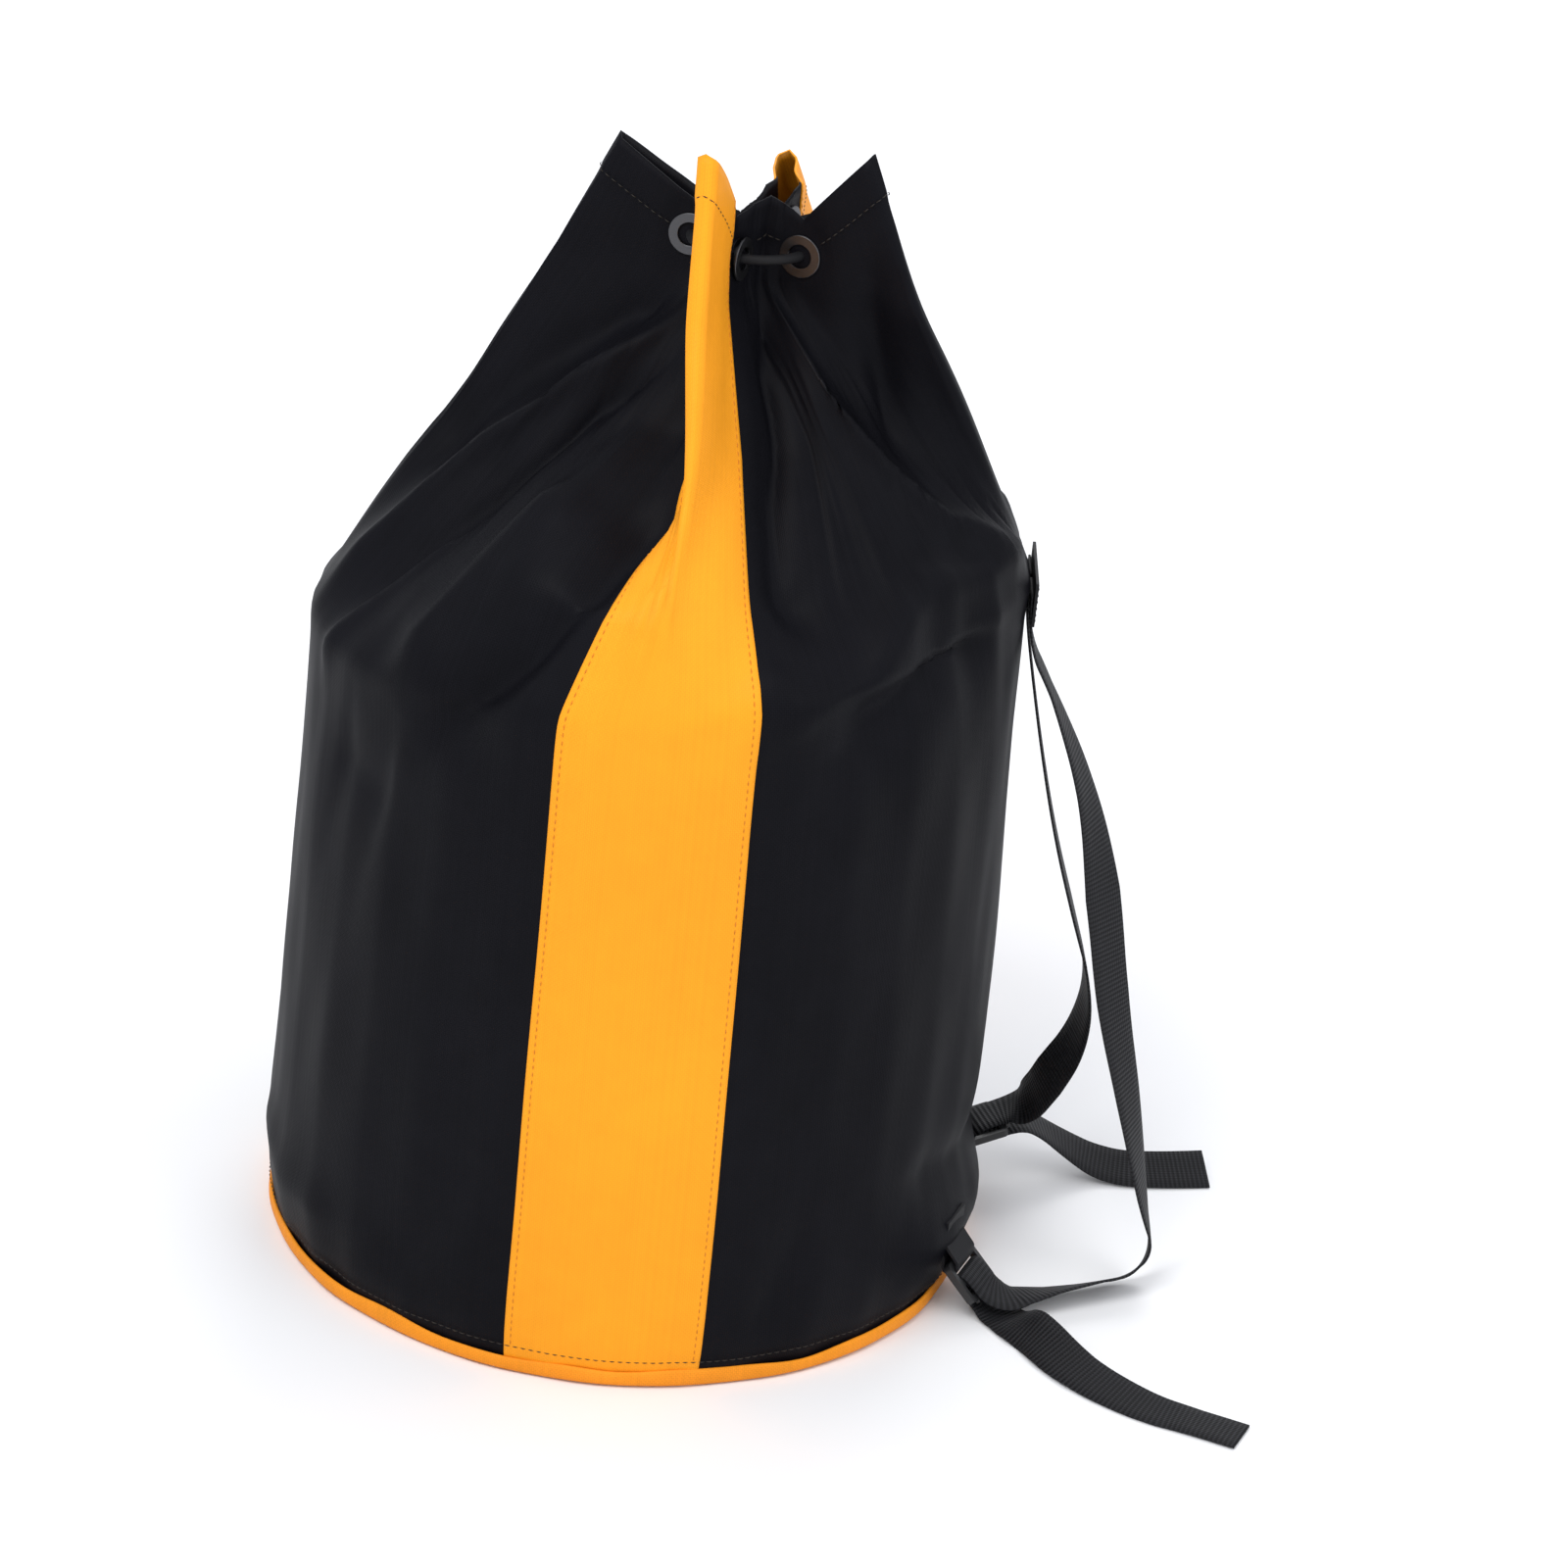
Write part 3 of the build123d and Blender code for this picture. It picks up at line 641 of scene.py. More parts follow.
# Where the cloth leans from its plain folds: a fold's middle, degrees either side, level and move.
LEANS = [
    (-90.0, (-1.3, 0.0, 1.3), "neck", (0.0125, 0.004, 0.0)),
    (-90.0, (-8.5, 8.5), "neck", (0.0080, 0.002, 0.0)),
    (-90.0, (-1.3, 0.0, 1.3), "rim", (-0.0020, -0.001, 0.0)),
    (-90.0, (8.5,), "rim", (-0.0030, -0.001, 0.003)),
    (-90.0, (15.5, 22.5), "rim", (-0.0045, 0.001, 0.002)),
    (90.0, (-1.3, 0.0, 1.3), "rim", (-0.0125, 0.004, 0.0)),
    (90.0, (-8.5, 8.5), "rim", (-0.0075, 0.002, 0.0)),
    (90.0, (-1.3, 0.0, 1.3), "neck", (-0.0060, 0.002, 0.0)),
    (-45.0, (0.0,), "rim", (0.002, -0.004, 0.020)),
    (-45.0, (-11.0, 11.0), "rim", (0.000, -0.002, 0.012)),
]
CREASE_DEPTH, CREASE_EDGE = 1.3, 0.004      # a gain on every crease, and how round its edge is
HEM_LIFT, HEM_EDGE = 0.0009, 0.004
# Creases on the cloth: how far it stands out or in, its half width, and its line as the
# direction round the bag and the height up the cloth.
CREASES = [
    (-0.0080, 0.016, [(-150, 0.605), (-161, 0.575), (-168, 0.53), (-172, 0.49), (-173, 0.44)]),
    (0.0095, 0.011, [(-139, 0.585), (-154, 0.537), (-163, 0.48), (-166, 0.42), (-170, 0.36)]),
    (-0.0070, 0.008, [(-128, 0.57), (-144, 0.525), (-150, 0.46), (-155, 0.42), (-159, 0.375)]),
    (0.0045, 0.005, [(-149, 0.44), (-155, 0.39), (-160, 0.33)]),
    (0.0100, 0.030, [(-126, 0.49), (-131, 0.43), (-138, 0.36)]),
    (-0.0110, 0.011, [(-100, 0.50), (-108, 0.475), (-111, 0.43), (-115, 0.39), (-122, 0.36), (-129, 0.33)]),
    (-0.0040, 0.030, [(-152, 0.30), (-136, 0.29)]),
    (-0.0090, 0.012, [(-45, 0.60), (-60, 0.56), (-66, 0.50), (-67, 0.45), (-62, 0.425)]),
    (0.0085, 0.013, [(-41, 0.60), (-41, 0.54), (-33, 0.50), (-28, 0.48), (-19, 0.46), (-5, 0.425)]),
    (-0.0070, 0.012, [(-6, 0.63), (-9, 0.59), (-16, 0.545), (-25, 0.505)]),
    (0.0080, 0.010, [(-7, 0.428), (-19, 0.435), (-38, 0.43), (-50, 0.405), (-56, 0.38)]),
    (-0.0120, 0.020, [(-22, 0.40), (-38, 0.395), (-48, 0.375), (-60, 0.355)]),
    (0.0040, 0.020, [(-72, 0.41), (-66, 0.37)]),
    (-0.0055, 0.012, [(-38, 0.092), (-12, 0.080), (14, 0.086)]),
    (0.0050, 0.013, [(-36, 0.045), (-14, 0.038), (12, 0.034)]),
    (0.0035, 0.012, [(-176, 0.060), (-158, 0.040), (-140, 0.046)]),
    (-0.0030, 0.014, [(-128, 0.030), (-118, 0.075), (-112, 0.120)]),
    (-0.0030, 0.012, [(-66, 0.026), (-58, 0.090)]),
    (0.0050, 0.020, [(24, 0.50), (35, 0.43), (60, 0.39)]),
    (-0.0090, 0.014, [(40, 0.60), (46, 0.54), (52, 0.48), (66, 0.42)]),
    (0.0060, 0.012, [(12, 0.43), (28, 0.42), (44, 0.385)]),
    (-0.0080, 0.016, [(128, 0.60), (135, 0.53), (128, 0.46), (116, 0.40)]),
    (0.0065, 0.012, [(150, 0.58), (158, 0.50), (162, 0.43), (150, 0.36)]),
    (-0.0060, 0.014, [(104, 0.47), (112, 0.42), (124, 0.37), (140, 0.34)]),
    (-0.0070, 0.012, [(84, 0.50), (76, 0.45), (70, 0.40), (60, 0.35)]),
]


def fold_stations():
    """The gathered wall's lines: angles round the bag, and each one's place at the neck and the rim."""
    bag = sizes()
    rows = []
    for index, (neck_angle, tip_reach, tip_height) in enumerate(FOLDS):
        panel = FOLD_PANELS[index]
        along, across = direction(neck_angle), direction(neck_angle + 90.0)
        before = FOLDS[index - 1][0]
        valley = direction(before + ((neck_angle - before) % 360.0) / 2) * VALLEY_REACH
        rows.append((panel - 45.0, valley, valley, VALLEY_RIM))
        slope = (tip_height - bag.neck_height) / (tip_height - bag.shoulder_height)
        wide_tip = tip_reach + (bag.shoulder_radius - tip_reach) * slope
        rows.append((panel, along * wide_tip, along * (tip_reach + TIP_ROUND / 2), tip_height + TIP_ROUND))
        for side in (-1, 1):
            tuck = along * TUCK_REACH + across * (side * TUCK_HALF_WIDTH)
            rows.append((panel + side * TUCK_ANGLE, tuck, tuck, (VALLEY_RIM + EYELET_RIM) / 2))
            for angle, share, half_width in FLANK:
                out = bag.eyelet_reach
                neck = along * (out + share * (wide_tip - out)) + across * (side * half_width)
                rim = along * (out + share * (tip_reach - out)) + across * (side * half_width)
                rows.append((panel + side * angle, neck, rim, EYELET_RIM + share * (tip_height - EYELET_RIM)))
    rows.sort(key=lambda row: row[0])
    axis = np.array([bag.neck_x, 0.0, 0.0])
    up = np.array([0.0, 0.0, 1.0])
    necks = np.array([row[1] + axis + up * bag.neck_height for row in rows])
    rims = np.array([row[2] + axis + up * row[3] for row in rows])
    return np.array([row[0] for row in rows]), necks, rims


def round_the_bag(angles, values, wanted):
    """Linear between stations, going round past the first and last."""
    around = np.r_[angles - 360.0, angles, angles + 360.0]
    tripled = np.concatenate([values] * 3)
    return between(wanted, around, tripled)


def wall_levels(angles):
    """Rings of points up the wall: foot, shoulder, two where the front fold opens, neck and rim."""
    bag = sizes()
    stations, necks, rims = fold_stations()
    turn = np.radians(stations)
    out = np.stack([np.cos(turn), np.sin(turn), 0 * turn], axis=-1)
    rings = []
    for radius, height in FOOT:
        rings.append(out * radius)
        rings[-1][:, 2] = height
    shoulder = out * bag.shoulder_radius
    shoulder[:, 2] = bag.shoulder_height + bag.shoulder_tilt * np.cos(turn)
    opening = [shoulder + (necks - shoulder) * share for share in (0.28, 0.607)]
    for offset, *places in OPENING:
        station = int(np.argmin(abs(stations - (FOLD_PANELS[0] + offset))))
        for level, place, height in zip(opening, places, OPENING_HEIGHTS):
            level[station] = (*place, height)
    for middle, offsets, level, move in LEANS:
        away = (stations - middle + 180.0) % 360.0 - 180.0
        moved = (abs(away[:, None] - offsets) < 0.1).any(axis=1)
        (necks if level == "neck" else rims)[moved] += move
    levels = (*rings, shoulder, *opening, necks, rims)
    return np.array([round_the_bag(stations, level, angles) for level in levels])


def along_levels(levels, rows):
    """Points at even shares of the length of each column's line through the levels."""
    steps = np.linalg.norm(np.diff(levels, axis=0), axis=2)
    reached = np.concatenate([np.zeros_like(steps[:1]), np.cumsum(steps, axis=0)])
    wanted = np.linspace(0, 1, rows)[None, :] * reached[-1][:, None]
    below = np.clip((wanted[None] >= reached[:, :, None]).sum(axis=0) - 1, 0, len(steps) - 1)
    column = np.arange(levels.shape[1])[:, None]
    share = (wanted - reached[below, column]) / steps[below, column]
    low, high = levels[below, column], levels[below + 1, column]
    return low + (high - low) * share[..., None]


def outward(grid):
    """The wall's unit normals: each point's step round the bag crossed with its step up."""
    return unit(np.cross(np.roll(grid, -1, 0) - np.roll(grid, 1, 0), np.gradient(grid, axis=1)))


def creased(grid, angles):
    """Each crease moves the cloth along its normal by height * exp(-(sqrt(d^2 + r^2) - r) / width).

    d is the distance on the cloth to the crease's line, r rounds its edge, and a crease fades
    out towards both of its ends.
    """
    up = np.linspace(0, CLOTH_HEIGHT, grid.shape[1])[None, :]
    metres = math.radians(1.0) * BASE_RADIUS
    rise = np.zeros(grid.shape[:2])
    for height, width, line in CREASES:
        nearest = np.full(grid.shape[:2], 9.0)
        fade = np.zeros(grid.shape[:2])
        for number in range(len(line) - 1):
            (start, low), (end, high) = line[number], line[number + 1]
            across = (angles[:, None] - start + 180.0) % 360.0 - 180.0
            px, py = across * metres, up - low
            dx, dy = (end - start) * metres, high - low
            share = np.clip((px * dx + py * dy) / (dx * dx + dy * dy), 0, 1)
            apart = np.hypot(px - share * dx, py - share * dy)
            nearer = apart < nearest
            nearest = np.where(nearer, apart, nearest)
            whole = (number + share) / (len(line) - 1)
            fade = np.where(nearer, np.clip(np.minimum(whole, 1 - whole) * 5 + 0.25, 0, 1), fade)
        rise += height * fade * np.exp(-(np.hypot(nearest, CREASE_EDGE) - CREASE_EDGE) / width)
    calm = np.clip((CLOTH_HEIGHT - 0.035 - up) / 0.03, 0, 1)
    hem = HEM_LIFT * np.clip((up - CLOTH_HEIGHT + sizes().hem + HEM_EDGE) / HEM_EDGE, 0, 1)
    return grid + outward(grid) * (CREASE_DEPTH * rise * calm + hem)[..., None]


def rippled(grid, angles):
    """Long shallow waves round the bag, so that spare cloth has somewhere to buckle."""
    turn = np.radians(angles)[:, None]
    up = np.linspace(0, 1, grid.shape[1])[None, :]
    wave = (np.sin(5 * turn + 9 * up) + 0.8 * np.sin(11 * turn - 17 * up + 1.0)
            + 0.7 * np.sin(17 * turn + 23 * up + 2.2) + 0.5 * np.sin(29 * turn - 31 * up + 0.7))
    gain = 0.0004 + 0.0004 * np.clip((up - 0.45) / 0.1, 0, 1) * np.clip((0.93 - up) / 0.1, 0, 1)
    foot = np.clip(up / 0.04, 0, 1)
    return grid + outward(grid) * (wave * gain * foot)[..., None]


def eyelet_places():
    """The middles of the eight eyelets."""
    lows, highs = zip(*(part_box(f"eyelet_{number}") for number in range(1, 9)))
    return (np.array(lows) + np.array(highs)) / 2


PRESS_REACH, PRESS_FADE = 0.019, 0.005


def pressed(grid):
    """How flat the eyelets press each point: 1 under a flange, fading to 0 a little way outside it."""
    near = np.min([np.linalg.norm(grid - place, axis=2) for place in eyelet_places()], axis=0)
    return np.clip((PRESS_REACH - near) / PRESS_FADE, 0, 1)


def held_cloth(grid, angles):
    """How firmly each point is held: the base seam, round each eyelet, the fold tips and the strap patch."""
    held = pressed(grid)
    held[:, :2] = 1.0
    for panel in FOLD_PANELS:
        tip = abs((angles - panel + 180.0) % 360.0 - 180.0) < 2.0
        held[tip, -5:] = 0.9
    for panel in (0.0, 180.0):
        crest = abs((angles - panel + 180.0) % 360.0 - 180.0) < 3.0
        held[crest, ROWS * 6 // 10:] = np.maximum(held[crest, ROWS * 6 // 10:], 0.6)
    patch = (np.array(PATCH_LOW) + np.array(PATCH_HIGH)) / 2
    near = np.abs(grid - patch)
    held = np.maximum(held, ((near[..., 1] < 0.033) & (near[..., 2] < 0.014) & (near[..., 0] < 0.02)) * 1.0)
    return held


def pulled(points, rest, axis):
    """Half of what each pair of neighbours along an axis must move to be its rest length apart."""
    step = np.roll(points, -1, axis) - points
    length = np.linalg.norm(step, axis=2)
    change = step * (0.5 * (1 - rest / np.maximum(length, 1e-9)))[..., None]
    if axis == 1:
        change[:, -1] = 0.0
    return change - np.roll(change, 1, axis)


PASSES = 140
BEND_ROUND, BEND_UP = 0.05, 0.07    # how much of each bend a pass takes out
YIELD, BACKING = 0.42, 0.020        # how far a pass moves a point, and how firmly the stuffing backs it
LONGEST_STEP = 1.6


def relaxed(shape, angles):
    """The cloth's own simulation: threads keep their cut lengths, bends are eased, and held places stay.

    Each pass moves every point by half of its threads' misfit and a little towards the middle
    of its neighbours, and keeps it near the shape that the stuffing gives.
    """
    columns, rows = shape.shape[:2]
    up = np.linspace(0, 1, rows)[None, :]
    loose = 0.06 + 0.40 * np.clip((0.90 - up) / 0.17, 0, 1)
    wide = np.linalg.norm(np.roll(shape, -1, 0) - shape, axis=2)
    tall = np.linalg.norm(np.roll(shape, -1, 1) - shape, axis=2)
    round_rest = np.minimum(wide + (2 * math.pi * BASE_RADIUS / columns - wide) * loose, wide * LONGEST_STEP)
    up_rest = tall + (CLOTH_HEIGHT / (rows - 1) - tall) * 0.8
    free = (1.0 - held_cloth(shape, angles))[..., None]
    grid = shape.copy()
    for _ in range(PASSES):
        move = pulled(grid, round_rest, 0) + pulled(grid, up_rest, 1)
        move += BEND_ROUND * ((np.roll(grid, -1, 0) + np.roll(grid, 1, 0)) / 2 - grid)
        move[:, 1:-1] += BEND_UP * ((grid[:, 2:] + grid[:, :-2]) / 2 - grid[:, 1:-1])
        grid += move * free * YIELD + (shape - grid) * free * BACKING
    return grid


def wall_grid():
    """The stuffed and gathered wall: [column, row] points from the base seam to the mouth's edge."""
    angles = np.linspace(-135.0, 225.0, COLUMNS, endpoint=False)
    plain = along_levels(wall_levels(angles), ROWS)
    folded = rippled(creased(plain, angles), angles)
    folded += (plain - folded) * pressed(plain)[..., None]
    return angles, relaxed(folded, angles)


def on_the_wall(turn, up, angles, grid):
    """Points and normals on the wall at given directions and heights, by bilinear blending of the grid."""
    columns, rows = grid.shape[:2]
    across = (turn - angles[0]) / (360.0 / columns)
    climb = np.clip(up / CLOTH_HEIGHT * (rows - 1), 0, rows - 1.001)
    column, row = np.floor(across).astype(int), np.floor(climb).astype(int)
    a, b = (across - column)[:, None], (climb - row)[:, None]
    found = []
    for field in (grid, outward(grid)):
        low = field[column % columns, row] * (1 - a) + field[(column + 1) % columns, row] * a
        high = field[column % columns, row + 1] * (1 - a) + field[(column + 1) % columns, row + 1] * a
        found.append(low * (1 - b) + high * b)
    return found[0], unit(found[1])


FLANGE_CLEAR = 0.0122               # no stitch lies nearer than this to an eyelet's middle


def stitches(name, points, normals, length, pitch, radius):
    """One mesh of short rounded stitches along a line: each is three rings of six points, closed at its ends.

    A ring at share t of the stitch is radius * sqrt(1 - (2t - 1)^2 * 0.8) wide, and its middle
    stands highest.
    """
    travelled = lengths_along(points)
    middles = np.arange(pitch / 2, travelled[-1], pitch)
    place = between(middles, travelled, points)
    apart = np.linalg.norm(place[:, None] - eyelet_places(), axis=2).min(axis=1)
    middles, place = middles[apart > FLANGE_CLEAR], place[apart > FLANGE_CLEAR]
    normal = unit(between(middles, travelled, normals))
    along = unit(between(middles + length / 2, travelled, points)
                 - between(middles - length / 2, travelled, points))
    side = unit(np.cross(along, normal))
    share = np.array([-1.0, 0.0, 1.0])
    swell = radius * np.sqrt(1 - share ** 2 * 0.8)
    lift = radius * (0.45 - 0.9 * share ** 2)
    angle = np.linspace(0, 2 * math.pi, 6, endpoint=False)
    centre = (place[:, None] + along[:, None] * (share * length / 2)[None, :, None]
              + normal[:, None] * lift[None, :, None])
    ring = (side[:, None, None] * np.cos(angle)[None, None, :, None]
            + normal[:, None, None] * np.sin(angle)[None, None, :, None])
    mesh = centre[:, :, None] + ring * swell[None, :, None, None]
    one = grid_faces(3, 6)
    wrap = np.array([[5, 11, 6, 0], [11, 17, 12, 6]])
    caps = np.array([[0, 1, 2, 3], [0, 3, 4, 5], [15, 14, 13, 12], [17, 16, 15, 12]])
    shape = np.concatenate([one, wrap, caps])
    faces = shape[None] + (np.arange(len(middles)) * 18)[:, None, None]
    return mesh_object(name, mesh, faces.reshape(-1, 4))


STRIPE_INSIDE_PAINTED_SHADE = 0.35                 # painted shade: the stripes' inside against their outside, as a darker copy of the yellow
STITCH_LENGTH, STITCH_PITCH, STITCH_RADIUS = 0.0030, 0.0042, 0.00032
FOOT_STITCH_HEIGHT = 0.0135
SEAM_INSET = 0.0035                 # from a stripe's edge to its stitches


class BAG_OT_wall(bpy.types.Operator):
    """Sews the stuffed wall: two black side panels and two yellow stripes, gathered at the neck"""

    bl_idname = "rope_bag.wall"
    bl_label = "Cloth wall"

    def execute(self, context):
        angles, grid = wall_grid()
        inks = colours()
        black = cloth_material("black coated cloth", inks.black_cloth, 0.46, 0.30, 0.045)
        yellow = cloth_material("yellow coated cloth", inks.yellow_cloth, 0.50, 0.10)
        inside = cloth_material("coated inside", inks.black_cloth, 0.38, 0.30)
        # The stripes' inside faces get a darker copy of the yellow cloth: painted shade on the inside of the
        # folds.
        painted_shade_yellow = scaled(inks.yellow_cloth, STRIPE_INSIDE_PAINTED_SHADE)
        amber = cloth_material("yellow inside with painted shade", painted_shade_yellow, 0.42, 0.2)
        half = sizes().stripe_half_angle
        tuck = half - SEAM_OVERLAP
        cuts = [
            ("front_stripe", "stripe_front", -90 - half, -90 + half, (yellow, amber), "yellow_cloth"),
            ("right_side_panel", "side_panel_right", -90 + tuck, 90 - tuck, (black, inside), "black_cloth"),
            ("rear_stripe", "stripe_rear", 90 - half, 90 + half, (yellow, amber), "yellow_cloth"),
            ("left_side_panel", "side_panel_left", 90 + tuck, 270 - tuck, (black, inside), "black_cloth"),
        ]
        over = grid + outward(grid) * STRIPE_LIFT
        for name, node, start, end, materials, slot in cuts:
            piece = self.panel(name, start, end, materials, angles, over if "stripe" in name else grid)
            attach(piece, "bag")
            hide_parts(node)
        self.sew(angles, over)
        return {"FINISHED"}

    def sew(self, angles, grid):
        """Top-stitches both edges of each stripe, the hem round the mouth and the foot of the wall."""
        half = sizes().stripe_half_angle
        inset = math.degrees(SEAM_INSET / BASE_RADIUS)
        amber = thread_material("amber thread", (0.55, 0.18, 0.010))
        dark = thread_material("dark thread", (0.020, 0.016, 0.012))
        up = np.linspace(0.014, CLOTH_HEIGHT - 0.003, 500)
        for name, middle in (("front", -90.0), ("rear", 90.0)):
            for side, sign in (("left", -1), ("right", 1)):
                turn = np.full_like(up, middle + sign * (half - inset))
                self.seam(f"{name}_stripe_stitches_{side}", turn, up, angles, grid, amber)
        turn = np.linspace(-135.0, 225.0, 900)
        heights = {"hem_stitches": CLOTH_HEIGHT - sizes().hem, "foot_stitches": FOOT_STITCH_HEIGHT}
        for name, height in heights.items():
            self.seam(name, turn, np.full_like(turn, height), angles, grid, dark)

    def seam(self, name, turn, up, angles, grid, thread):
        """Stitches along a line on the cloth, given as directions round the bag and heights up the cloth."""
        points, normals = on_the_wall(turn, up, angles, grid)
        piece = stitches(name, points, normals, STITCH_LENGTH, STITCH_PITCH, STITCH_RADIUS)
        use_material(piece, thread)
        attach(piece, "bag")

    def panel(self, name, start, end, materials, angles, grid):
        """The wall's columns from one seam to the next, with the seams' own columns put in."""
        around = np.r_[angles - 360.0, angles, angles + 360.0]
        inner = around[(around > start + 0.2) & (around < end - 0.2)]
        wanted = np.r_[start, inner, end]
        tripled = np.concatenate([grid] * 3)
        low = np.clip(np.searchsorted(around, wanted, side="right") - 1, 0, len(around) - 2)
        share = (wanted - around[low]) / (around[low + 1] - around[low])
        points = tripled[low] * (1 - share)[:, None, None] + tripled[low + 1] * share[:, None, None]
        rows = points.shape[1]
        across = np.radians(wanted)[:, None] * BASE_RADIUS
        up = np.linspace(0, CLOTH_HEIGHT, rows)[None, :]
        uv = np.stack(np.broadcast_arrays(across, up), axis=-1)
        piece = mesh_object(name, points, grid_faces(len(wanted), rows), uv)
        for material in materials:
            piece.data.materials.append(material)
        thicken = piece.modifiers.new("cloth", "SOLIDIFY")
        thicken.thickness = sizes().cloth
        thicken.offset = -1.0
        thicken.material_offset = 1
        thicken.use_rim = True
        return piece


BASE_SEAM, BASE_LEVEL = 0.1845, 0.0012      # the base's radius at its seam, its height off the floor
BASE_PUFF = 0.0006
BINDING_LEAN, BINDING_SWELL = 0.0009, 0.16


class BAG_OT_base(bpy.types.Operator):
    """Cuts the round base and rolls its binding over the seam"""

    bl_idname = "rope_bag.base"
    bl_label = "Base and binding"

    def execute(self, context):
        inks = colours()
        cloth = cloth_material("base cloth", inks.yellow_base, 0.55, 0.16)
        turn = np.linspace(0, 2 * math.pi, 240, endpoint=False)
        wave = 0.6 * np.sin(7 * turn + 0.4) + 0.4 * np.sin(13 * turn + 2.0) + 0.3 * np.sin(23 * turn + 1.1)
        binding = self.ring("rolled_binding", turn, wave, cloth)
        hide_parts("base_binding")
        disc = self.disc(turn, cloth)
        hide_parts("base_panel")
        for piece in (binding, disc):
            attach(piece, "bag")
        return {"FINISHED"}

    def ring(self, name, turn, wave, cloth):
        """A rolled tape carried round the base: its closed section leans and swells with the wave."""
        section = np.array(BINDING_SECTION)
        standing = section[None, :, 1] > 0.001
        radius = section[None, :, 0] + BINDING_LEAN * wave[:, None] * standing
        height = section[None, :, 1] * (1 + BINDING_SWELL * np.roll(wave, 9)[:, None])
        out = np.stack([np.cos(turn), np.sin(turn)], axis=-1)
        points = np.concatenate([out[:, None, :] * radius[..., None], height[..., None]], axis=2)
        count = len(section)
        faces = grid_faces(len(turn), count, closed=True)
        close = round_faces(len(turn) + 1, count) % points[..., 0].size
        lengths = np.r_[0, np.cumsum(np.linalg.norm(np.diff(section, axis=0), axis=1))]
        uv = np.stack(np.broadcast_arrays((turn * BASE_RADIUS)[:, None], lengths[None, :]), axis=-1)
        piece = mesh_object(name, points, np.concatenate([faces, close]), uv)
        use_material(piece, cloth)
        smooth = piece.modifiers.new("round", "SUBSURF")
        smooth.levels = smooth.render_levels = 1
        return piece

    def disc(self, turn, cloth):
        """The base: rings from the middle to the seam, nearly flat, with the weight of the load in it."""
        reach = np.linspace(0.004, BASE_SEAM, 24)
        out = np.stack([np.cos(turn), np.sin(turn)], axis=-1)
        points = np.zeros((len(turn), len(reach), 3))
        points[..., :2] = out[:, None, :] * reach[None, :, None]
        puff = BASE_PUFF * np.sin(5 * turn)[:, None] * np.sin(reach / BASE_SEAM * 9)[None, :]
        points[..., 2] = BASE_LEVEL + puff
        middle = np.array([[0.0, 0.0, BASE_LEVEL]])
        rows = len(reach)
        faces = grid_faces(len(turn), rows, closed=True)
        hub = len(turn) * rows
        first = np.arange(0, len(turn), 2) * rows
        fan = np.stack([np.full_like(first, hub), first, first + rows, (first + 2 * rows) % hub], axis=-1)
        flat = np.concatenate([points.reshape(-1, 3), middle])
        piece = mesh_object("base_disc", flat, np.concatenate([faces, fan]), flat[:, :2])
        use_material(piece, cloth)
        thicken = piece.modifiers.new("cloth", "SOLIDIFY")
        thicken.thickness = sizes().cloth
        thicken.offset = 0.0
        return piece


class BAG_OT_hardware(bpy.types.Operator):
    """Finishes the eyelets, ladder locks, cord lock and the small webbing pieces: the base loops and the
    strap patch
    """

    bl_idname = "rope_bag.hardware"
    bl_label = "Hardware finishes"

    def execute(self, context):
        nickel = metal_material("dark nickel plating", colours().nickel, 0.36)
        steel = metal_material("spring steel", (0.5, 0.5, 0.5), 0.3)
        plastic = moulded_material("moulded plastic", (0.012, 0.012, 0.013))
        webbing = webbing_material(colours().webbing)
        self.box_stitch(thread_material("patch thread", (0.045, 0.045, 0.050)))
        for name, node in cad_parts.items():
            if name.startswith("eyelet"):
                use_material(node, nickel)
            elif name == "cord_lock_spring":
                use_material(node, steel)
            elif name.startswith(("cord_lock", "ladder_lock")):
                use_material(node, plastic)
            elif name.startswith("base_loop") or name == "strap_patch":
                use_material(node, webbing)
        return {"FINISHED"}


    def box_stitch(self, thread):
        """The strap patch's stitching: a box inside its edges, crossed from corner to corner."""
        low, high = np.array(PATCH_LOW), np.array(PATCH_HIGH)
        inset = 0.0028
        y0, y1, z0, z1 = low[1] + inset, high[1] - inset, low[2] + inset, high[2] - inset
        corners = [(y0, z0), (y1, z0), (y1, z1), (y0, z1), (y0, z0), (y1, z1), (y1, z0), (y0, z1)]
        marks = np.arange(0, len(corners) - 1 + 1e-9, 1 / 40)
        y, z = (np.interp(marks, np.arange(len(corners)), column) for column in zip(*corners))
        points = np.stack([np.full_like(y, high[0] + 0.0001), y, z], axis=1)
        normals = np.tile([1.0, 0.0, 0.0], (len(points), 1))
        piece = stitches("strap_patch_stitches", points, normals, 0.0026, 0.0036, 0.00034)
        use_material(piece, thread)
        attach(piece, "bag")


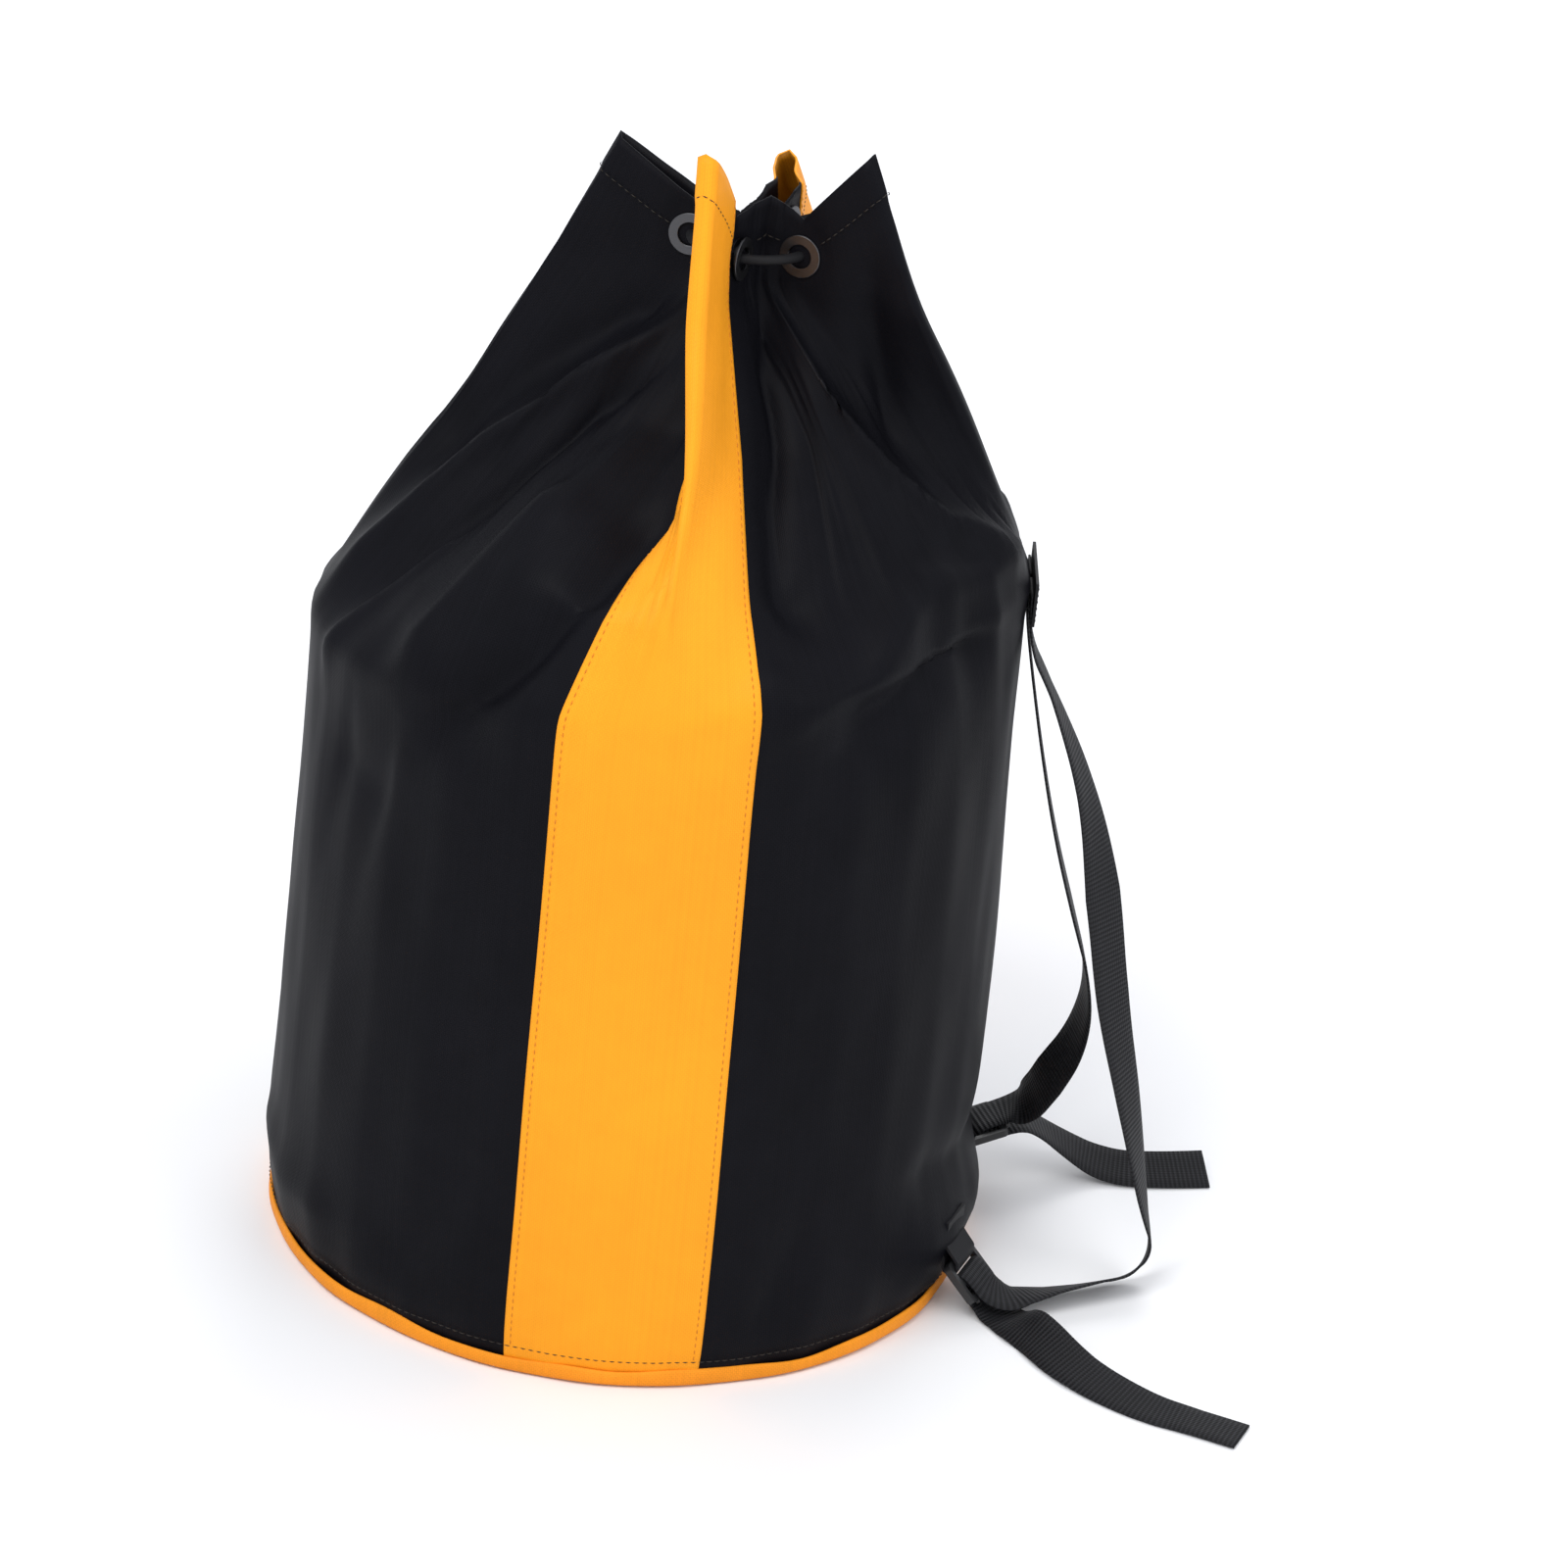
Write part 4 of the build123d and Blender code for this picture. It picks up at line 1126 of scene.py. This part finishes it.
class BAG_OT_stage(bpy.types.Operator):
    """Lays a pale floor and sets soft studio lights"""

    bl_idname = "rope_bag.stage"
    bl_label = "Floor and lights"

    def execute(self, context):
        reach = 6.0
        floor = mesh_object(
            "floor", [(-reach, -reach, 0), (-reach, reach, 0), (reach, -reach, 0), (reach, reach, 0)],
            [(0, 2, 3, 1)])
        material, shader, place, _ = new_material("pale floor", {"Roughness": 0.9})
        tone = noise(place, 3.0)
        connect(tone.blend((0.82, 0.82, 0.83), (0.86, 0.86, 0.86)), shader, "Base Color")
        use_material(floor, material)
        world = bpy.data.worlds.new("studio")
        context.scene.world = world
        world.use_nodes = True
        background = world.node_tree.nodes["Background"]
        background.inputs["Color"].default_value = (0.93, 0.95, 1.0, 1.0)
        background.inputs["Strength"].default_value = 0.9
        lights = [
            ("key", (-1.1, -1.8, 3.0), 62.0, 1.6),
            ("fill", (2.2, -1.6, 2.2), 20.0, 2.0),
            ("back", (0.4, 2.4, 2.4), 30.0, 1.6),
        ]
        for name, place, power, size in lights:
            data = bpy.data.lights.new(name, "AREA")
            data.energy = power
            data.size = size
            lamp = bpy.data.objects.new(name, data)
            lamp.location = place
            aim = Vector((0.03, 0.0, 0.32)) - Vector(place)
            lamp.rotation_euler = aim.to_track_quat("-Z", "Y").to_euler()
            context.scene.collection.objects.link(lamp)
        context.scene.view_settings.view_transform = "Standard"
        return {"FINISHED"}


class BAG_PT_panel(bpy.types.Panel):
    """The bag's makers in the sidebar, in order"""

    bl_idname = "BAG_PT_panel"
    bl_label = "Rope Bag"
    bl_space_type = "VIEW_3D"
    bl_region_type = "UI"
    bl_category = "Rope Bag"

    def draw(self, context):
        for step in STEPS:
            self.layout.operator(step.bl_idname)


STEPS = (
    BAG_OT_camera, BAG_OT_straps, BAG_OT_drawcord, BAG_OT_wall, BAG_OT_base, BAG_OT_hardware,
    BAG_OT_stage,
)
CLASSES = (BagSizes, BagColours, *STEPS, BAG_PT_panel)


def register():
    for item in CLASSES:
        bpy.utils.register_class(item)
    bpy.types.Scene.rope_bag_sizes = bpy.props.PointerProperty(type=BagSizes)
    bpy.types.Scene.rope_bag_colours = bpy.props.PointerProperty(type=BagColours)


def unregister():
    del bpy.types.Scene.rope_bag_sizes
    del bpy.types.Scene.rope_bag_colours
    for item in reversed(CLASSES):
        bpy.utils.unregister_class(item)


def main():
    register()
    for step in STEPS:
        group, name = step.bl_idname.split(".")
        getattr(getattr(bpy.ops, group), name)()


if __name__ == "__main__":
    main()
